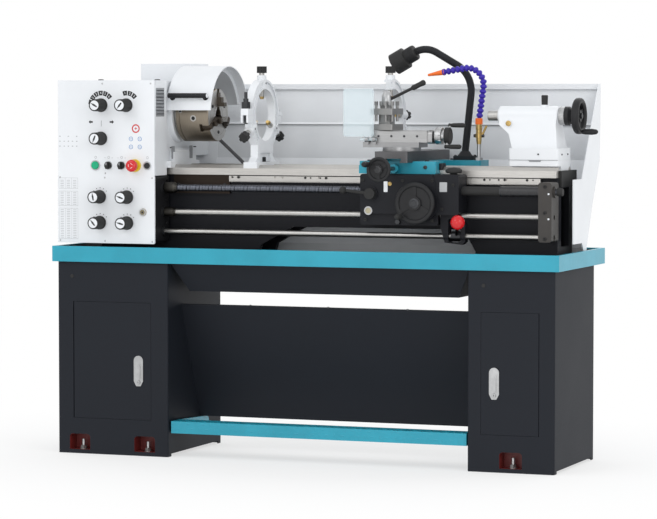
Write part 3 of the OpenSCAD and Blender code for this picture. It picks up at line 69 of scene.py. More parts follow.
Colour = tuple[float, float, float]
Point = tuple[float, float, float]
Settings = Optional[dict[str, Any]]
Sockets = Optional[dict[Any, Any]]

PER_METRE = 1000.0
MERGE = 2e-6        # metres between corners of a CAD node that are one corner
SLIVER = 0.002      # millimetres; shorter edges are dissolved
SMOOTH = 32.0       # degrees; sharper edges stay sharp
EASE_FROM = 38.0    # degrees; sharper edges are eased
PRINT = (0.2, 0.05)  # how far a printed mark stands out of its plate and in it

# Ways to go: towards the operator, away from the operator, towards the tailstock, and up.
OUT: Point = (0, -1, 0)
REAR: Point = (0, 1, 0)
TAIL: Point = (1, 0, 0)
UP: Point = (0, 0, 1)

# Turns, in degrees, of a shape that stands along +Z.
FRONT: Point = (90.0, 0.0, 0.0)
BACK: Point = (-90.0, 0.0, 0.0)
RIGHT: Point = (0.0, 90.0, 0.0)
LEFT: Point = (0.0, -90.0, 0.0)


class Axis(IntEnum):
    """The axis along which an outline is drawn out."""

    X = 0
    Y = 1
    Z = 2


# ---- shader writing ---------------------------------------------------------


class Val:
    """A number socket that turns Python arithmetic into Math nodes."""

    def __init__(self, book: "Book", socket: Any) -> None:
        """Keeps the socket and the tree it belongs to."""
        self.book = book
        self.socket = socket

    def _math(self, operation: str, a: Any, b: Any = None, clamp: bool = False) -> "Val":
        """Adds one Math node on two operands."""
        values = {0: a} if b is None else {0: a, 1: b}
        return self.book.value("ShaderNodeMath", {"operation": operation, "use_clamp": clamp}, values)

    def __add__(self, other: Any) -> "Val":
        """Sum."""
        return self._math("ADD", self, other)

    def __sub__(self, other: Any) -> "Val":
        """Difference."""
        return self._math("SUBTRACT", self, other)

    def __mul__(self, other: Any) -> "Val":
        """Product."""
        return self._math("MULTIPLY", self, other)

    def __rsub__(self, other: Any) -> "Val":
        """Difference from a number."""
        return self._math("SUBTRACT", other, self)

    __radd__ = __add__
    __rmul__ = __mul__

    def clip(self) -> "Val":
        """The value kept between 0 and 1."""
        return self._math("ADD", self, 0.0, clamp=True)

    def span(self, low: float, high: float) -> "Val":
        """The value taken from low..high to 0..1."""
        return self.book.value("ShaderNodeMapRange", {"clamp": True}, {0: self, 1: low, 2: high, 3: 0.0, 4: 1.0})


def write_node(tree: Any, kind: str, settings: Settings = None, sockets: Sockets = None) -> Any:
    """Adds a node to a shader tree or a geometry tree.

    Args:
        tree: the tree.
        kind: the node's type name.
        settings: attributes, set before the sockets.
        sockets: values or links by socket name or number.

    Returns:
        The new node.
    """
    made = tree.nodes.new(kind)
    for key, value in (settings or {}).items():
        setattr(made, key, value)
    for key, value in (sockets or {}).items():
        target = made.inputs[key]
        if isinstance(value, Val):
            value = value.socket
        if isinstance(value, bpy.types.NodeSocket):
            tree.links.new(value, target)
        elif isinstance(value, tuple) and len(value) == 3 and target.type == "RGBA":
            target.default_value = (*value, 1.0)
        else:
            target.default_value = value
    return made


class Book:
    """Writes the node tree of a material or a world."""

    def __init__(self, owner: Any) -> None:
        """Empties the tree of a new material or world."""
        owner.use_nodes = True
        self.owner = owner
        self.tree = owner.node_tree
        self.tree.nodes.clear()
        self._object: Any = None

    def node(self, kind: str, settings: Settings = None, sockets: Sockets = None) -> Any:
        """Adds a node, as write_node does."""
        return write_node(self.tree, kind, settings, sockets)

    def value(self, kind: str, settings: Settings = None, sockets: Sockets = None, output: Any = 0) -> Val:
        """Adds a node and wraps one of its outputs."""
        return Val(self, self.node(kind, settings, sockets).outputs[output])

    def place(self, scale: Point = (1.0, 1.0, 1.0), turn: Point = (0.0, 0.0, 0.0)) -> Any:
        """Object coordinates, stretched and turned."""
        if self._object is None:
            self._object = self.node("ShaderNodeTexCoord").outputs["Object"]
        mapping = self.node("ShaderNodeMapping", {}, {"Vector": self._object, "Rotation": turn, "Scale": scale})
        return mapping.outputs[0]

    def noise(self, scale: float, detail: float = 3.0, rough: float = 0.55,
              stretch: Point = (1.0, 1.0, 1.0)) -> Val:
        """Fractal noise on object coordinates."""
        return self.value("ShaderNodeTexNoise", {"noise_dimensions": "3D"},
                          {"Vector": self.place(stretch), "Scale": scale, "Detail": detail, "Roughness": rough})

    def cells(self, scale: float) -> Val:
        """Distance to the cells of a Voronoi pattern."""
        return self.value("ShaderNodeTexVoronoi", {"feature": "F1"}, {"Vector": self.place(), "Scale": scale})

    def edges(self, width: float) -> Val:
        """A mask of the convex edges, from a bevelled normal."""
        bevel = self.node("ShaderNodeBevel", {"samples": 4}, {"Radius": width}).outputs[0]
        plain = self.node("ShaderNodeNewGeometry").outputs["Normal"]
        same = self.value("ShaderNodeVectorMath", {"operation": "DOT_PRODUCT"}, {0: bevel, 1: plain}, "Value")
        return (1.0 - same).span(0.02, 0.25)

    def blend(self, factor: Any, a: Any, b: Any) -> Any:
        """A colour between two colours."""
        mix = self.node("ShaderNodeMix", {"data_type": "RGBA"}, {"Factor": factor, 6: a, 7: b})
        return mix.outputs[2]

    def bump(self, height: Val, depth: float) -> Any:
        """A Bump node's normal."""
        return self.node("ShaderNodeBump", {}, {"Height": height, "Distance": depth, "Strength": 1.0}).outputs[0]

    def surface(self, **sockets: Any) -> Any:
        """A Principled shader; underscores in names stand for spaces."""
        named = {key.replace("_", " "): value for key, value in sockets.items()}
        return self.node("ShaderNodeBsdfPrincipled", {}, named).outputs[0]

    def finish(self, shader: Any) -> bpy.types.Material:
        """Connects the shader to the output."""
        self.node("ShaderNodeOutputMaterial", {}, {"Surface": shader})
        return self.owner


# ---- finishes ---------------------------------------------------------------


def toned(colour: Colour, factor: float, lift: float = 0.0) -> Colour:
    """A colour made paler or darker, and kept below white."""
    return tuple(min(1.0, c * factor + lift) for c in colour)


@dataclass(frozen=True)
class Finish:
    """A finish that is made once and shared."""

    name: str

    def build(self) -> bpy.types.Material:
        """Writes the material, or returns the one that exists."""
        found = bpy.data.materials.get(self.name)
        if found is not None:
            return found
        book = Book(bpy.data.materials.new(self.name))
        return book.finish(self.shade(book))

    def shade(self, book: Book) -> Any:
        """The finish's shader."""
        raise NotImplementedError


@dataclass(frozen=True)
class Paint(Finish):
    """Sprayed enamel: fine orange peel, faint clouding, dust in corners, and rubbed edges made paler with a painted
    highlight.
    """

    colour: Colour
    gloss: float = 0.35
    peel: float = 900.0
    depth: float = 0.00003
    cloud: float = 0.05
    # How much paler the convex edges are: partly rubbed paint, partly a painted highlight on the edge.
    rub_and_highlight: float = 0.25
    grime: float = 0.12
    coat: float = 0.15

    def shade(self, book: Book) -> Any:
        """Principled paint with its varying colour, roughness and bump."""
        cloud = book.noise(5.0, 4.0)
        fine = book.noise(self.peel, 2.0)
        dust = book.noise(38.0, 5.0, 0.7).span(0.55, 0.8)
        dark = toned(self.colour, 1.0 - self.cloud * 2.2)
        light = toned(self.colour, 1.0 + self.cloud, 0.004)
        colour = book.blend(cloud.span(0.3, 0.7), dark, light)
        dull = toned(self.colour, 0.72, 0.02)
        colour = book.blend(dust * self.grime, colour, dull)
        # Convex edges turn paler: partly rubbed paint, partly a painted highlight.
        worn_and_lit = toned(self.colour, 1.25, 0.05)
        colour = book.blend(book.edges(0.0012) * self.rub_and_highlight, colour, worn_and_lit)
        rough = (book.noise(60.0, 4.0) - 0.5) * 0.12 + (self.gloss + dust * 0.08)
        return book.surface(Base_Color=colour, Roughness=rough.clip(), Normal=book.bump(fine, self.depth),
                            Coat_Weight=self.coat, Coat_Roughness=0.25)


@dataclass(frozen=True)
class Crinkle(Finish):
    """Textured dark enamel with a fine leathery crinkle; its crests and edges carry painted highlights."""

    colour: Colour
    gloss: float = 0.46
    grain: float = 420.0
    depth: float = 0.00012
    shine: float = 0.22

    def shade(self, book: Book) -> Any:
        """Cells and noise give the crinkle; its crests and edges are painted paler, as painted highlights."""
        cell = book.cells(self.grain)
        fine = book.noise(self.grain * 2.2, 2.0)
        height = cell * 0.7 + fine * 0.5
        cloud = book.noise(4.0, 5.0)
        # Painted highlight: the crests of the crinkle are made paler, as if they caught light.
        crest_highlight = toned(self.colour, 1.6, 0.003)
        colour = book.blend((height - 0.25).clip() * 0.6, self.colour, crest_highlight)
        colour = book.blend(cloud.span(0.35, 0.75) * 0.35, colour, toned(self.colour, 1.35, 0.002))
        # Painted highlight along the convex edges.
        colour = book.blend(book.edges(0.0015) * 0.35, colour, toned(self.colour, 2.4, 0.03))
        rough = height * 0.18 + (self.gloss + (cloud - 0.5) * 0.1)
        return book.surface(Base_Color=colour, Roughness=rough.clip(), Normal=book.bump(height, self.depth),
                            Specular_IOR_Level=self.shine)


class Lay(Enum):
    """Direction of a metal's grain."""

    ALONG_X = (1.0, 40.0, 40.0)
    ALONG_Y = (40.0, 1.0, 40.0)
    TURNED_X = (60.0, 1.0, 1.0)
    TURNED_Y = (1.0, 60.0, 1.0)
    TURNED_Z = (1.0, 1.0, 60.0)
    NONE = (1.0, 1.0, 1.0)


@dataclass(frozen=True)
class Metal(Finish):
    """Ground, turned or blackened metal with its lay, smudges and painted highlights on its edges."""

    colour: Colour
    gloss: float = 0.28
    lay: Lay = Lay.NONE
    depth: float = 0.00002
    stain: Colour = (0.16, 0.13, 0.10)
    stained: float = 0.18
    # Strength of the painted highlight on the edges.
    edge_highlight: float = 0.5

    def shade(self, book: Book) -> Any:
        """Metallic Principled with scratches along the lay."""
        scratch = book.noise(26.0, 3.0, 0.7, self.lay.value)
        smear = book.noise(9.0, 5.0)
        spots = book.noise(70.0, 4.0, 0.7).span(0.6, 0.8)
        dark = toned(self.colour, 0.72)
        colour = book.blend(scratch.span(0.25, 0.75), dark, self.colour)
        colour = book.blend((smear.span(0.5, 0.8) * 0.6 + spots * 0.5) * self.stained, colour, self.stain)
        # Painted highlight: convex edges are blended towards a paler colour.
        light = toned(self.colour, 1.3, 0.1)
        colour = book.blend(book.edges(0.0008) * self.edge_highlight, colour, light)
        rough = scratch * 0.16 + smear * 0.12 + (self.gloss - 0.12)
        return book.surface(Base_Color=colour, Metallic=1.0, Roughness=rough.clip(),
                            Normal=book.bump(scratch + book.noise(400.0, 2.0) * 0.4, self.depth))


@dataclass(frozen=True)
class Plastic(Finish):
    """Moulded plastic or rubber with a fine grain and handling marks."""

    colour: Colour
    gloss: float = 0.4
    grain: float = 1400.0
    depth: float = 0.00002
    shine: float = 0.35

    def shade(self, book: Book) -> Any:
        """Grain, a faint mottle and painted highlights on the edges."""
        fine = book.noise(self.grain, 2.0)
        mottle = book.noise(22.0, 4.0)
        pale = toned(self.colour, 1.35, 0.012)
        colour = book.blend(mottle.span(0.4, 0.8) * 0.4, self.colour, pale)
        # Painted highlight: convex edges are made paler.
        colour = book.blend(book.edges(0.0008) * 0.3, colour, toned(self.colour, 1.8, 0.03))
        rough = fine * 0.1 + mottle * 0.1 + (self.gloss - 0.08)
        return book.surface(Base_Color=colour, Roughness=rough.clip(), Normal=book.bump(fine, self.depth),
                            Specular_IOR_Level=self.shine)


@dataclass(frozen=True)
class Clear(Finish):
    """Clear sheet plastic with fine scratches."""

    tint: Colour = (0.86, 0.93, 0.96)

    def shade(self, book: Book) -> Any:
        """Mostly transparent, with a scratched gloss and brighter cut edges."""
        scratch = book.noise(60.0, 4.0, 0.7, (1.0, 1.0, 0.15))
        solid = book.surface(Base_Color=self.tint, Roughness=(scratch * 0.12 + 0.02).clip(), Specular_IOR_Level=0.6)
        through = book.node("ShaderNodeBsdfTransparent", {}, {"Color": (0.985, 0.992, 0.995)}).outputs[0]
        haze = scratch.span(0.62, 0.8) * 0.04 + 0.012
        edge = book.edges(0.0022) * 0.4
        return book.node("ShaderNodeMixShader", {}, {0: (haze + edge).clip(), 1: through, 2: solid}).outputs[0]


WHITE = Paint("white_enamel", (0.79, 0.81, 0.835), gloss=0.34, cloud=0.02, rub_and_highlight=0.05, grime=0.05)
TURQUOISE = Paint("turquoise_enamel", (0.012, 0.33, 0.45), gloss=0.33, cloud=0.06, rub_and_highlight=0.2)
CABINET = Crinkle("cabinet_texture", (0.0095, 0.0115, 0.0165))
BED_BLACK = Crinkle("cast_bed_black", (0.008, 0.0085, 0.0115), gloss=0.4, grain=260.0, depth=0.00018)
CAST_BLACK = Crinkle("black_castings", (0.009, 0.0092, 0.0105), gloss=0.36, shine=0.35, grain=300.0, depth=0.00015)
GROUND = Metal("ground_steel", (0.66, 0.64, 0.61), gloss=0.38, lay=Lay.ALONG_X)
TURNED = Metal("turned_steel", (0.56, 0.55, 0.53), gloss=0.34, lay=Lay.TURNED_X)
TURNED_FRONT = Metal("turned_steel_front", (0.34, 0.34, 0.34), gloss=0.36, lay=Lay.TURNED_Y)
TURNED_UP = Metal("turned_steel_up", (0.36, 0.36, 0.355), gloss=0.4, lay=Lay.TURNED_Z)
CHUCK_IRON = Metal("chuck_iron", (0.36, 0.31, 0.245), gloss=0.42, lay=Lay.TURNED_X, stained=0.35)
CHUCK_FACE = Metal("chuck_face", (0.60, 0.59, 0.57), gloss=0.44, lay=Lay.NONE, stained=0.15)
DARK_STEEL = Metal("blackened_steel", (0.075, 0.077, 0.082), gloss=0.4, lay=Lay.ALONG_Y, stained=0.1, edge_highlight=0.6)
SATIN_CHROME = Metal("satin_chrome", (0.58, 0.585, 0.59), gloss=0.36, lay=Lay.NONE, stained=0.05)
BRASS = Metal("brass", (0.60, 0.42, 0.16), gloss=0.3, stained=0.2)
BRIDGE_IRON = Metal("bridge_iron", (0.052, 0.040, 0.033), gloss=0.5, lay=Lay.ALONG_X, stained=0.4)
BLACK_PLASTIC = Plastic("black_plastic", (0.012, 0.012, 0.013), gloss=0.36)
RUBBER = Plastic("black_rubber", (0.011, 0.0115, 0.014), gloss=0.6, grain=700.0, depth=0.00005)
RED = Plastic("red_plastic", (0.62, 0.012, 0.018), gloss=0.26)
GREEN = Plastic("green_plastic", (0.004, 0.34, 0.16), gloss=0.3)
YELLOW = Plastic("yellow_plastic", (0.75, 0.52, 0.02), gloss=0.35)
BLUE_HOSE = Plastic("blue_hose", (0.038, 0.018, 0.34), gloss=0.38)
ORANGE = Plastic("orange_plastic", (0.86, 0.16, 0.02), gloss=0.36)
LABEL_GREY = Paint("printed_grey", (0.42, 0.43, 0.44), gloss=0.45, cloud=0.02, rub_and_highlight=0.0)
PRINT_BLACK = Plastic("printed_black", (0.012, 0.012, 0.013), gloss=0.5)
PRINT_RED = Plastic("printed_red", (0.55, 0.03, 0.03), gloss=0.5)
PRINT_BLUE = Plastic("printed_blue", (0.02, 0.16, 0.42), gloss=0.5)
POCKET_RED = Paint("primer_red", (0.16, 0.012, 0.010), gloss=0.5, cloud=0.12)
LEAD_STEEL = Metal("leadscrew_steel", (0.17, 0.18, 0.21), gloss=0.36, lay=Lay.TURNED_X)
JAW_STEEL = Metal("jaw_steel", (0.13, 0.11, 0.09), gloss=0.4, lay=Lay.NONE, stained=0.2)
LOUVRE_GREY = Paint("louvre_grey", (0.26, 0.27, 0.285), gloss=0.45, cloud=0.04, rub_and_highlight=0.0)
COVER_BLACK = Plastic("cover_black", (0.010, 0.010, 0.012), gloss=0.24, shine=0.6)
IRON_GREY = Metal("bearing_iron", (0.085, 0.08, 0.072), gloss=0.4, lay=Lay.TURNED_X, stained=0.3)
CROSS_IRON = Metal("cross_slide_iron", (0.16, 0.16, 0.165), gloss=0.42, lay=Lay.ALONG_Y)
SWIVEL_IRON = Metal("swivel_iron", (0.42, 0.42, 0.425), gloss=0.32, lay=Lay.TURNED_Z)
COMPOUND_IRON = Metal("compound_iron", (0.52, 0.52, 0.52), gloss=0.33, lay=Lay.ALONG_X)
CLEAR = Clear("clear_sheet")


# ---- mesh building, in millimetres of the lathe's frame ---------------------


@dataclass(frozen=True)
class Region:
    """A box in millimetres whose faces take another finish.

    With whole, a loose part changes when its centre is in the box.
    """

    lo: Point
    hi: Point
    whole: bool = False

    def holds(self, point: Vector) -> bool:
        """Whether a point is in the box."""
        return all(low <= value <= high for low, value, high in zip(self.lo, point, self.hi))


@dataclass(frozen=True)
class Around(Region):
    """A round bar of space from lo to hi instead of a box."""

    radius: float = 1.0

    def holds(self, point: Vector) -> bool:
        """Whether a point is in the bar."""
        start = Vector(self.lo)
        line = Vector(self.hi) - start
        share = (point - start).dot(line) / line.length_squared
        return 0.0 <= share <= 1.0 and (point - start - line * share).length <= self.radius


def node_body(node: str) -> str:
    """The body that a CAD node belongs to."""
    for body, members in frame["record"]["behaviour"]["bodies"].items():
        if node in members:
            return body
    raise KeyError(node)


def linked(name: str, data: Any) -> bpy.types.Object:
    """A new object in the scene."""
    made = bpy.data.objects.new(name, data)
    bpy.context.scene.collection.objects.link(made)
    return made


def shade_smooth(work: bmesh.types.BMesh, angle: float) -> None:
    """Shades a mesh smooth except at edges sharper than an angle in degrees."""
    limit = radians(angle)
    for edge in work.edges:
        edge.smooth = len(edge.link_faces) == 2 and edge.calc_face_angle(0.0) < limit
    for face in work.faces:
        face.smooth = True


def settle(piece: bpy.types.Object, node: str) -> bpy.types.Object:
    """Lets a piece ride on the body of a CAD node and notes it in the list that main logs."""
    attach(piece, node_body(node))
    built.append(piece.name)
    return piece


def round_ways(side: Vector, up: Vector, count: int, squash: float = 1.0) -> list[Vector]:
    """Ways evenly round a centre, from side towards up; squash narrows them along side."""
    turns = [2 * pi * k / count for k in range(count)]
    return [side * cos(a) * squash + up * sin(a) for a in turns]


def spoke(angle: float) -> Vector:
    """The way out from the spindle's axis, in degrees from +Y towards +Z."""
    a = radians(angle)
    return Vector((0.0, cos(a), sin(a)))


def corners(node: str) -> tuple[Vector, Vector]:
    """A CAD node's lowest and highest corners, in millimetres."""
    low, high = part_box(node)
    return low * PER_METRE, high * PER_METRE


class Form:
    """A mesh in the making."""

    def __init__(self, name: str, finish: Optional[Finish] = None) -> None:
        """Starts empty, with the finish of its first faces."""
        self.name = name
        self.bm = bmesh.new()
        self.finishes: list[Finish] = []
        self.current = 0
        if finish is not None:
            self.use(finish)

    def use(self, finish: Finish) -> "Form":
        """Sets the finish of the faces that come next."""
        if finish not in self.finishes:
            self.finishes.append(finish)
        self.current = self.finishes.index(finish)
        return self

    def copy(self, node: str, finish: Finish) -> "Form":
        """Adds a merged copy of a CAD node's mesh."""
        self.use(finish)
        part = bmesh.new()
        part.from_mesh(frame["nodes"][node].data)
        bmesh.ops.remove_doubles(part, verts=part.verts, dist=MERGE)
        part.transform(Matrix.Scale(PER_METRE, 4))
        bmesh.ops.dissolve_degenerate(part, edges=part.edges, dist=SLIVER)
        for face in part.faces:
            face.material_index = self.current
        mesh = bpy.data.meshes.new("part")
        part.to_mesh(mesh)
        part.free()
        self.bm.from_mesh(mesh)
        bpy.data.meshes.remove(mesh)
        return self

    def islands(self) -> list[list[Any]]:
        """The loose parts, as lists of faces."""
        seen: set[Any] = set()
        groups: list[list[Any]] = []
        for start in self.bm.faces:
            if start in seen:
                continue
            seen.add(start)
            group, stack = [], [start]
            while stack:
                face = stack.pop()
                group.append(face)
                for edge in face.edges:
                    for other in edge.link_faces:
                        if other not in seen:
                            seen.add(other)
                            stack.append(other)
            groups.append(group)
        return groups

    def paint(self, finish: Finish, region: Region) -> "Form":
        """Gives the faces in a region, or its loose parts, a finish."""
        self.use(finish)
        chosen: list[Any] = []
        if region.whole:
            for group in self.islands():
                points = [v.co for face in group for v in face.verts]
                middle = Vector([(min(p[i] for p in points) + max(p[i] for p in points)) / 2 for i in range(3)])
                chosen += group if region.holds(middle) else []
        else:
            chosen = [face for face in self.bm.faces if region.holds(face.calc_center_median())]
        for face in chosen:
            face.material_index = self.current
        return self

    def shell(self, points: Sequence[Any], loops: Iterable[Sequence[int]]) -> "Form":
        """Adds a closed shell and turns its faces outwards."""
        made = [self.bm.verts.new(point) for point in points]
        fresh = []
        for loop in loops:
            face = self.bm.faces.new([made[i] for i in loop])
            face.material_index = self.current
            fresh.append(face)
        bmesh.ops.recalc_face_normals(self.bm, faces=fresh)
        return self

    def box(self, lo: Point, hi: Point) -> "Form":
        """Adds a box."""
        points = [(x, y, z) for x in (lo[0], hi[0]) for y in (lo[1], hi[1]) for z in (lo[2], hi[2])]
        return self.shell(points, [(0, 1, 3, 2), (4, 6, 7, 5), (0, 4, 5, 1), (2, 3, 7, 6), (0, 2, 6, 4), (1, 5, 7, 3)])

    def prism(self, outline: Sequence[tuple[float, float]], axis: int, a: float, b: float) -> "Form":
        """Adds an outline in the two other axes, drawn out along one."""
        count = len(outline)
        points = []
        for along in (a, b):
            for u, v in outline:
                place = [u, v]
                place.insert(axis, along)
                points.append(tuple(place))
        sides = [(i, (i + 1) % count, count + (i + 1) % count, count + i) for i in range(count)]
        return self.shell(points, [tuple(range(count)), tuple(range(count, 2 * count)), *sides])

    def divisions(self, start: Any, axis: Any, radius: float, count: int, lengths: tuple[float, float],
                  width: float = 0.36, first: float = 0.0, step: float = 0.0) -> "Form":
        """Adds raised lines along a round part; each fifth one is longer.

        Args:
            start: centre of the part where the lines begin.
            axis: the way they run.
            radius: radius of the part.
            count: number of lines.
            lengths: the long and the short line.
            width: width of a line.
            first: angle of the first line, in degrees.
            step: angle between lines, or 0 for a full turn.

        Returns:
            The form itself.
        """
        along = Vector(axis).normalized()
        side = Vector(TAIL) if abs(along.x) < 0.9 else Vector(REAR)
        up = along.cross(side)
        for k in range(count):
            a = radians(first + k * (step or 360.0 / count))
            out = side * cos(a) + up * sin(a)
            across = along.cross(out) * (width / 2)
            root = Vector(start) + out * (radius + 0.02)
            reach = along * lengths[0 if k % 5 == 0 else 1]
            points = [root + across, root - across, root - across + reach, root + across + reach]
            points += [q + out * 0.1 for q in points]
            self.shell(points, [(0, 1, 2, 3), (4, 5, 6, 7), (0, 1, 5, 4), (1, 2, 6, 5), (2, 3, 7, 6), (3, 0, 4, 7)])
        return self

    def lathe(self, profile: Sequence[tuple[float, float]], start: Any, axis: Any,
              segments: int = 40, squash: float = 1.0) -> "Form":
        """Revolves (distance, radius) pairs round an axis; the ends are closed.

        Args:
            profile: distances along the axis with their radii.
            start: where distance 0 is.
            axis: the axis direction.
            segments: sides of the turned part.
            squash: width of the section against its height.

        Returns:
            The form itself.
        """
        along = Vector(axis).normalized()
        side = along.orthogonal().normalized()
        if abs(along.z) < 0.9:
            side = along.cross(Vector(UP)).normalized()
        up = along.cross(side)
        ways = round_ways(side, up, segments, squash)
        points: list[Any] = []
        rings: list[list[int]] = []
        for distance, radius in profile:
            centre = Vector(start) + along * distance
            if radius < 1e-6:
                rings.append([len(points)])
                points.append(centre)
                continue
            rings.append(list(range(len(points), len(points) + segments)))
            points += [centre + way * radius for way in ways]
        loops: list[Sequence[int]] = []
        for first, second in zip(rings, rings[1:]):
            for k in range(segments):
                n = (k + 1) % segments
                if len(first) == 1 and len(second) == 1:
                    continue
                if len(first) == 1:
                    loops.append((first[0], second[k], second[n]))
                elif len(second) == 1:
                    loops.append((first[k], second[0], first[n]))
                else:
                    loops.append((first[k], second[k], second[n], first[n]))
        for ring in (rings[0], rings[-1]):
            if len(ring) > 1:
                loops.append(tuple(ring))
        return self.shell(points, loops)

    def rod(self, a: Any, b: Any, radius: float, segments: int = 28, chamfer: float = 0.6) -> "Form":
        """Adds a round bar with eased ends."""
        length = (Vector(b) - Vector(a)).length
        ease = min(chamfer, radius * 0.5, length * 0.3)
        return self.lathe([(0, radius - ease), (ease, radius), (length - ease, radius), (length, radius - ease)],
                          a, Vector(b) - Vector(a), segments)

    def ring(self, centre: Any, axis: Any, section: Sequence[tuple[float, float]], segments: int) -> "Form":
        """Revolves a closed section round an axis.

        Args:
            centre: the middle of the ring.
            axis: the way it faces.
            section: corners as (radius, distance along the axis).
            segments: sides of the ring.

        Returns:
            The form itself.
        """
        along = Vector(axis).normalized()
        side = along.orthogonal().normalized()
        up = along.cross(side)
        count = len(section)
        points: list[Any] = []
        loops: list[Sequence[int]] = []
        for k, out in enumerate(round_ways(side, up, segments)):
            points += [Vector(centre) + out * radius + along * lift for radius, lift in section]
            here, there = k * count, (k + 1) % segments * count
            loops += [(here + j, there + j, there + (j + 1) % count, here + (j + 1) % count) for j in range(count)]
        return self.shell(points, loops)

    def hoop(self, centre: Any, axis: Any, radius: float, thick: float) -> "Form":
        """Adds a round ring."""
        turns = [2 * pi * j / 16 for j in range(16)]
        return self.ring(centre, axis, [(radius + thick * cos(b), thick * sin(b)) for b in turns], 72)

    def washer(self, centre: Any, axis: Any, outer: float, inner: float, thick: float, segments: int) -> "Form":
        """Adds a flat ring."""
        return self.ring(centre, axis, [(inner, 0), (outer, 0), (outer, thick), (inner, thick)], segments)

    def tube(self, path: Sequence[Any], radius: float, segments: int = 16) -> "Form":
        """Adds a round bar along a path, closed at both ends."""
        route = [Vector(p) for p in path]
        side: Optional[Vector] = None
        points: list[Any] = []
        for i, point in enumerate(route):
            ahead = (route[min(i + 1, len(route) - 1)] - route[max(i - 1, 0)]).normalized()
            side = ahead.orthogonal() if side is None else side - ahead * side.dot(ahead)
            side.normalize()
            up = ahead.cross(side)
            points += [point + way * radius for way in round_ways(side, up, segments)]
        loops: list[Sequence[int]] = [tuple(range(segments)), tuple(range(len(points) - segments, len(points)))]
        for i in range(len(route) - 1):
            for k in range(segments):
                n = (k + 1) % segments
                loops.append((i * segments + k, (i + 1) * segments + k, (i + 1) * segments + n, i * segments + n))
        return self.shell(points, loops)

    def number(self, text: str, centre: Any, across: Any, up: Any, size: float) -> "Form":
        """Adds plain numerals that stand up a little from a face."""
        curve = bpy.data.curves.new("numeral", "FONT")
        curve.body = text
        curve.size = size
        curve.align_x = "CENTER"
        curve.align_y = "CENTER"
        curve.extrude = 0.12
        curve.resolution_u = 2
        holder = linked("numeral", curve)
        bpy.context.view_layer.update()
        mesh = bpy.data.meshes.new_from_object(holder.evaluated_get(bpy.context.evaluated_depsgraph_get()))
        x, y = Vector(across).normalized(), Vector(up).normalized()
        turn = Matrix((x, y, x.cross(y))).transposed().to_4x4()
        mesh.transform(Matrix.Translation(Vector(centre)) @ turn)
        before = len(self.bm.faces)
        self.bm.from_mesh(mesh)
        self.bm.faces.ensure_lookup_table()
        for face in self.bm.faces[before:]:
            face.material_index = self.current
        bpy.data.objects.remove(holder)
        bpy.data.curves.remove(curve)
        bpy.data.meshes.remove(mesh)
        return self

    def to_mesh(self, angle: float = SMOOTH) -> bpy.types.Mesh:
        """The mesh in metres, smooth except at its sharp edges; the form is used up."""
        shade_smooth(self.bm, angle)
        self.bm.transform(Matrix.Scale(1.0 / PER_METRE, 4))
        mesh = bpy.data.meshes.new(self.name)
        self.bm.to_mesh(mesh)
        self.bm.free()
        for finish in self.finishes:
            mesh.materials.append(finish.build())
        return mesh

    def done(self, node: str, slot: str, hides: bool = False, bevel: float = 0.0,
             angle: float = SMOOTH) -> bpy.types.Object:
        """Makes the object.

        Args:
            node: a CAD node whose body the piece rides on.
            slot: the record's material slot; not used.
            hides: whether the piece stands for that node.
            bevel: width of its eased edges, in millimetres.
            angle: the sharpest angle that is still shaded smooth.

        Returns:
            The finished object, riding on the node's body.
        """
        made = linked(self.name, self.to_mesh(angle))
        if bevel > 0:
            ease = made.modifiers.new("eased", "BEVEL")
            ease.width = bevel / PER_METRE
            ease.segments = 2
            ease.limit_method = "ANGLE"
            ease.angle_limit = radians(EASE_FROM)
            ease.use_clamp_overlap = True
            ease.harden_normals = True
        settle(made, node)
        if hides:
            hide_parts(node)
        return made


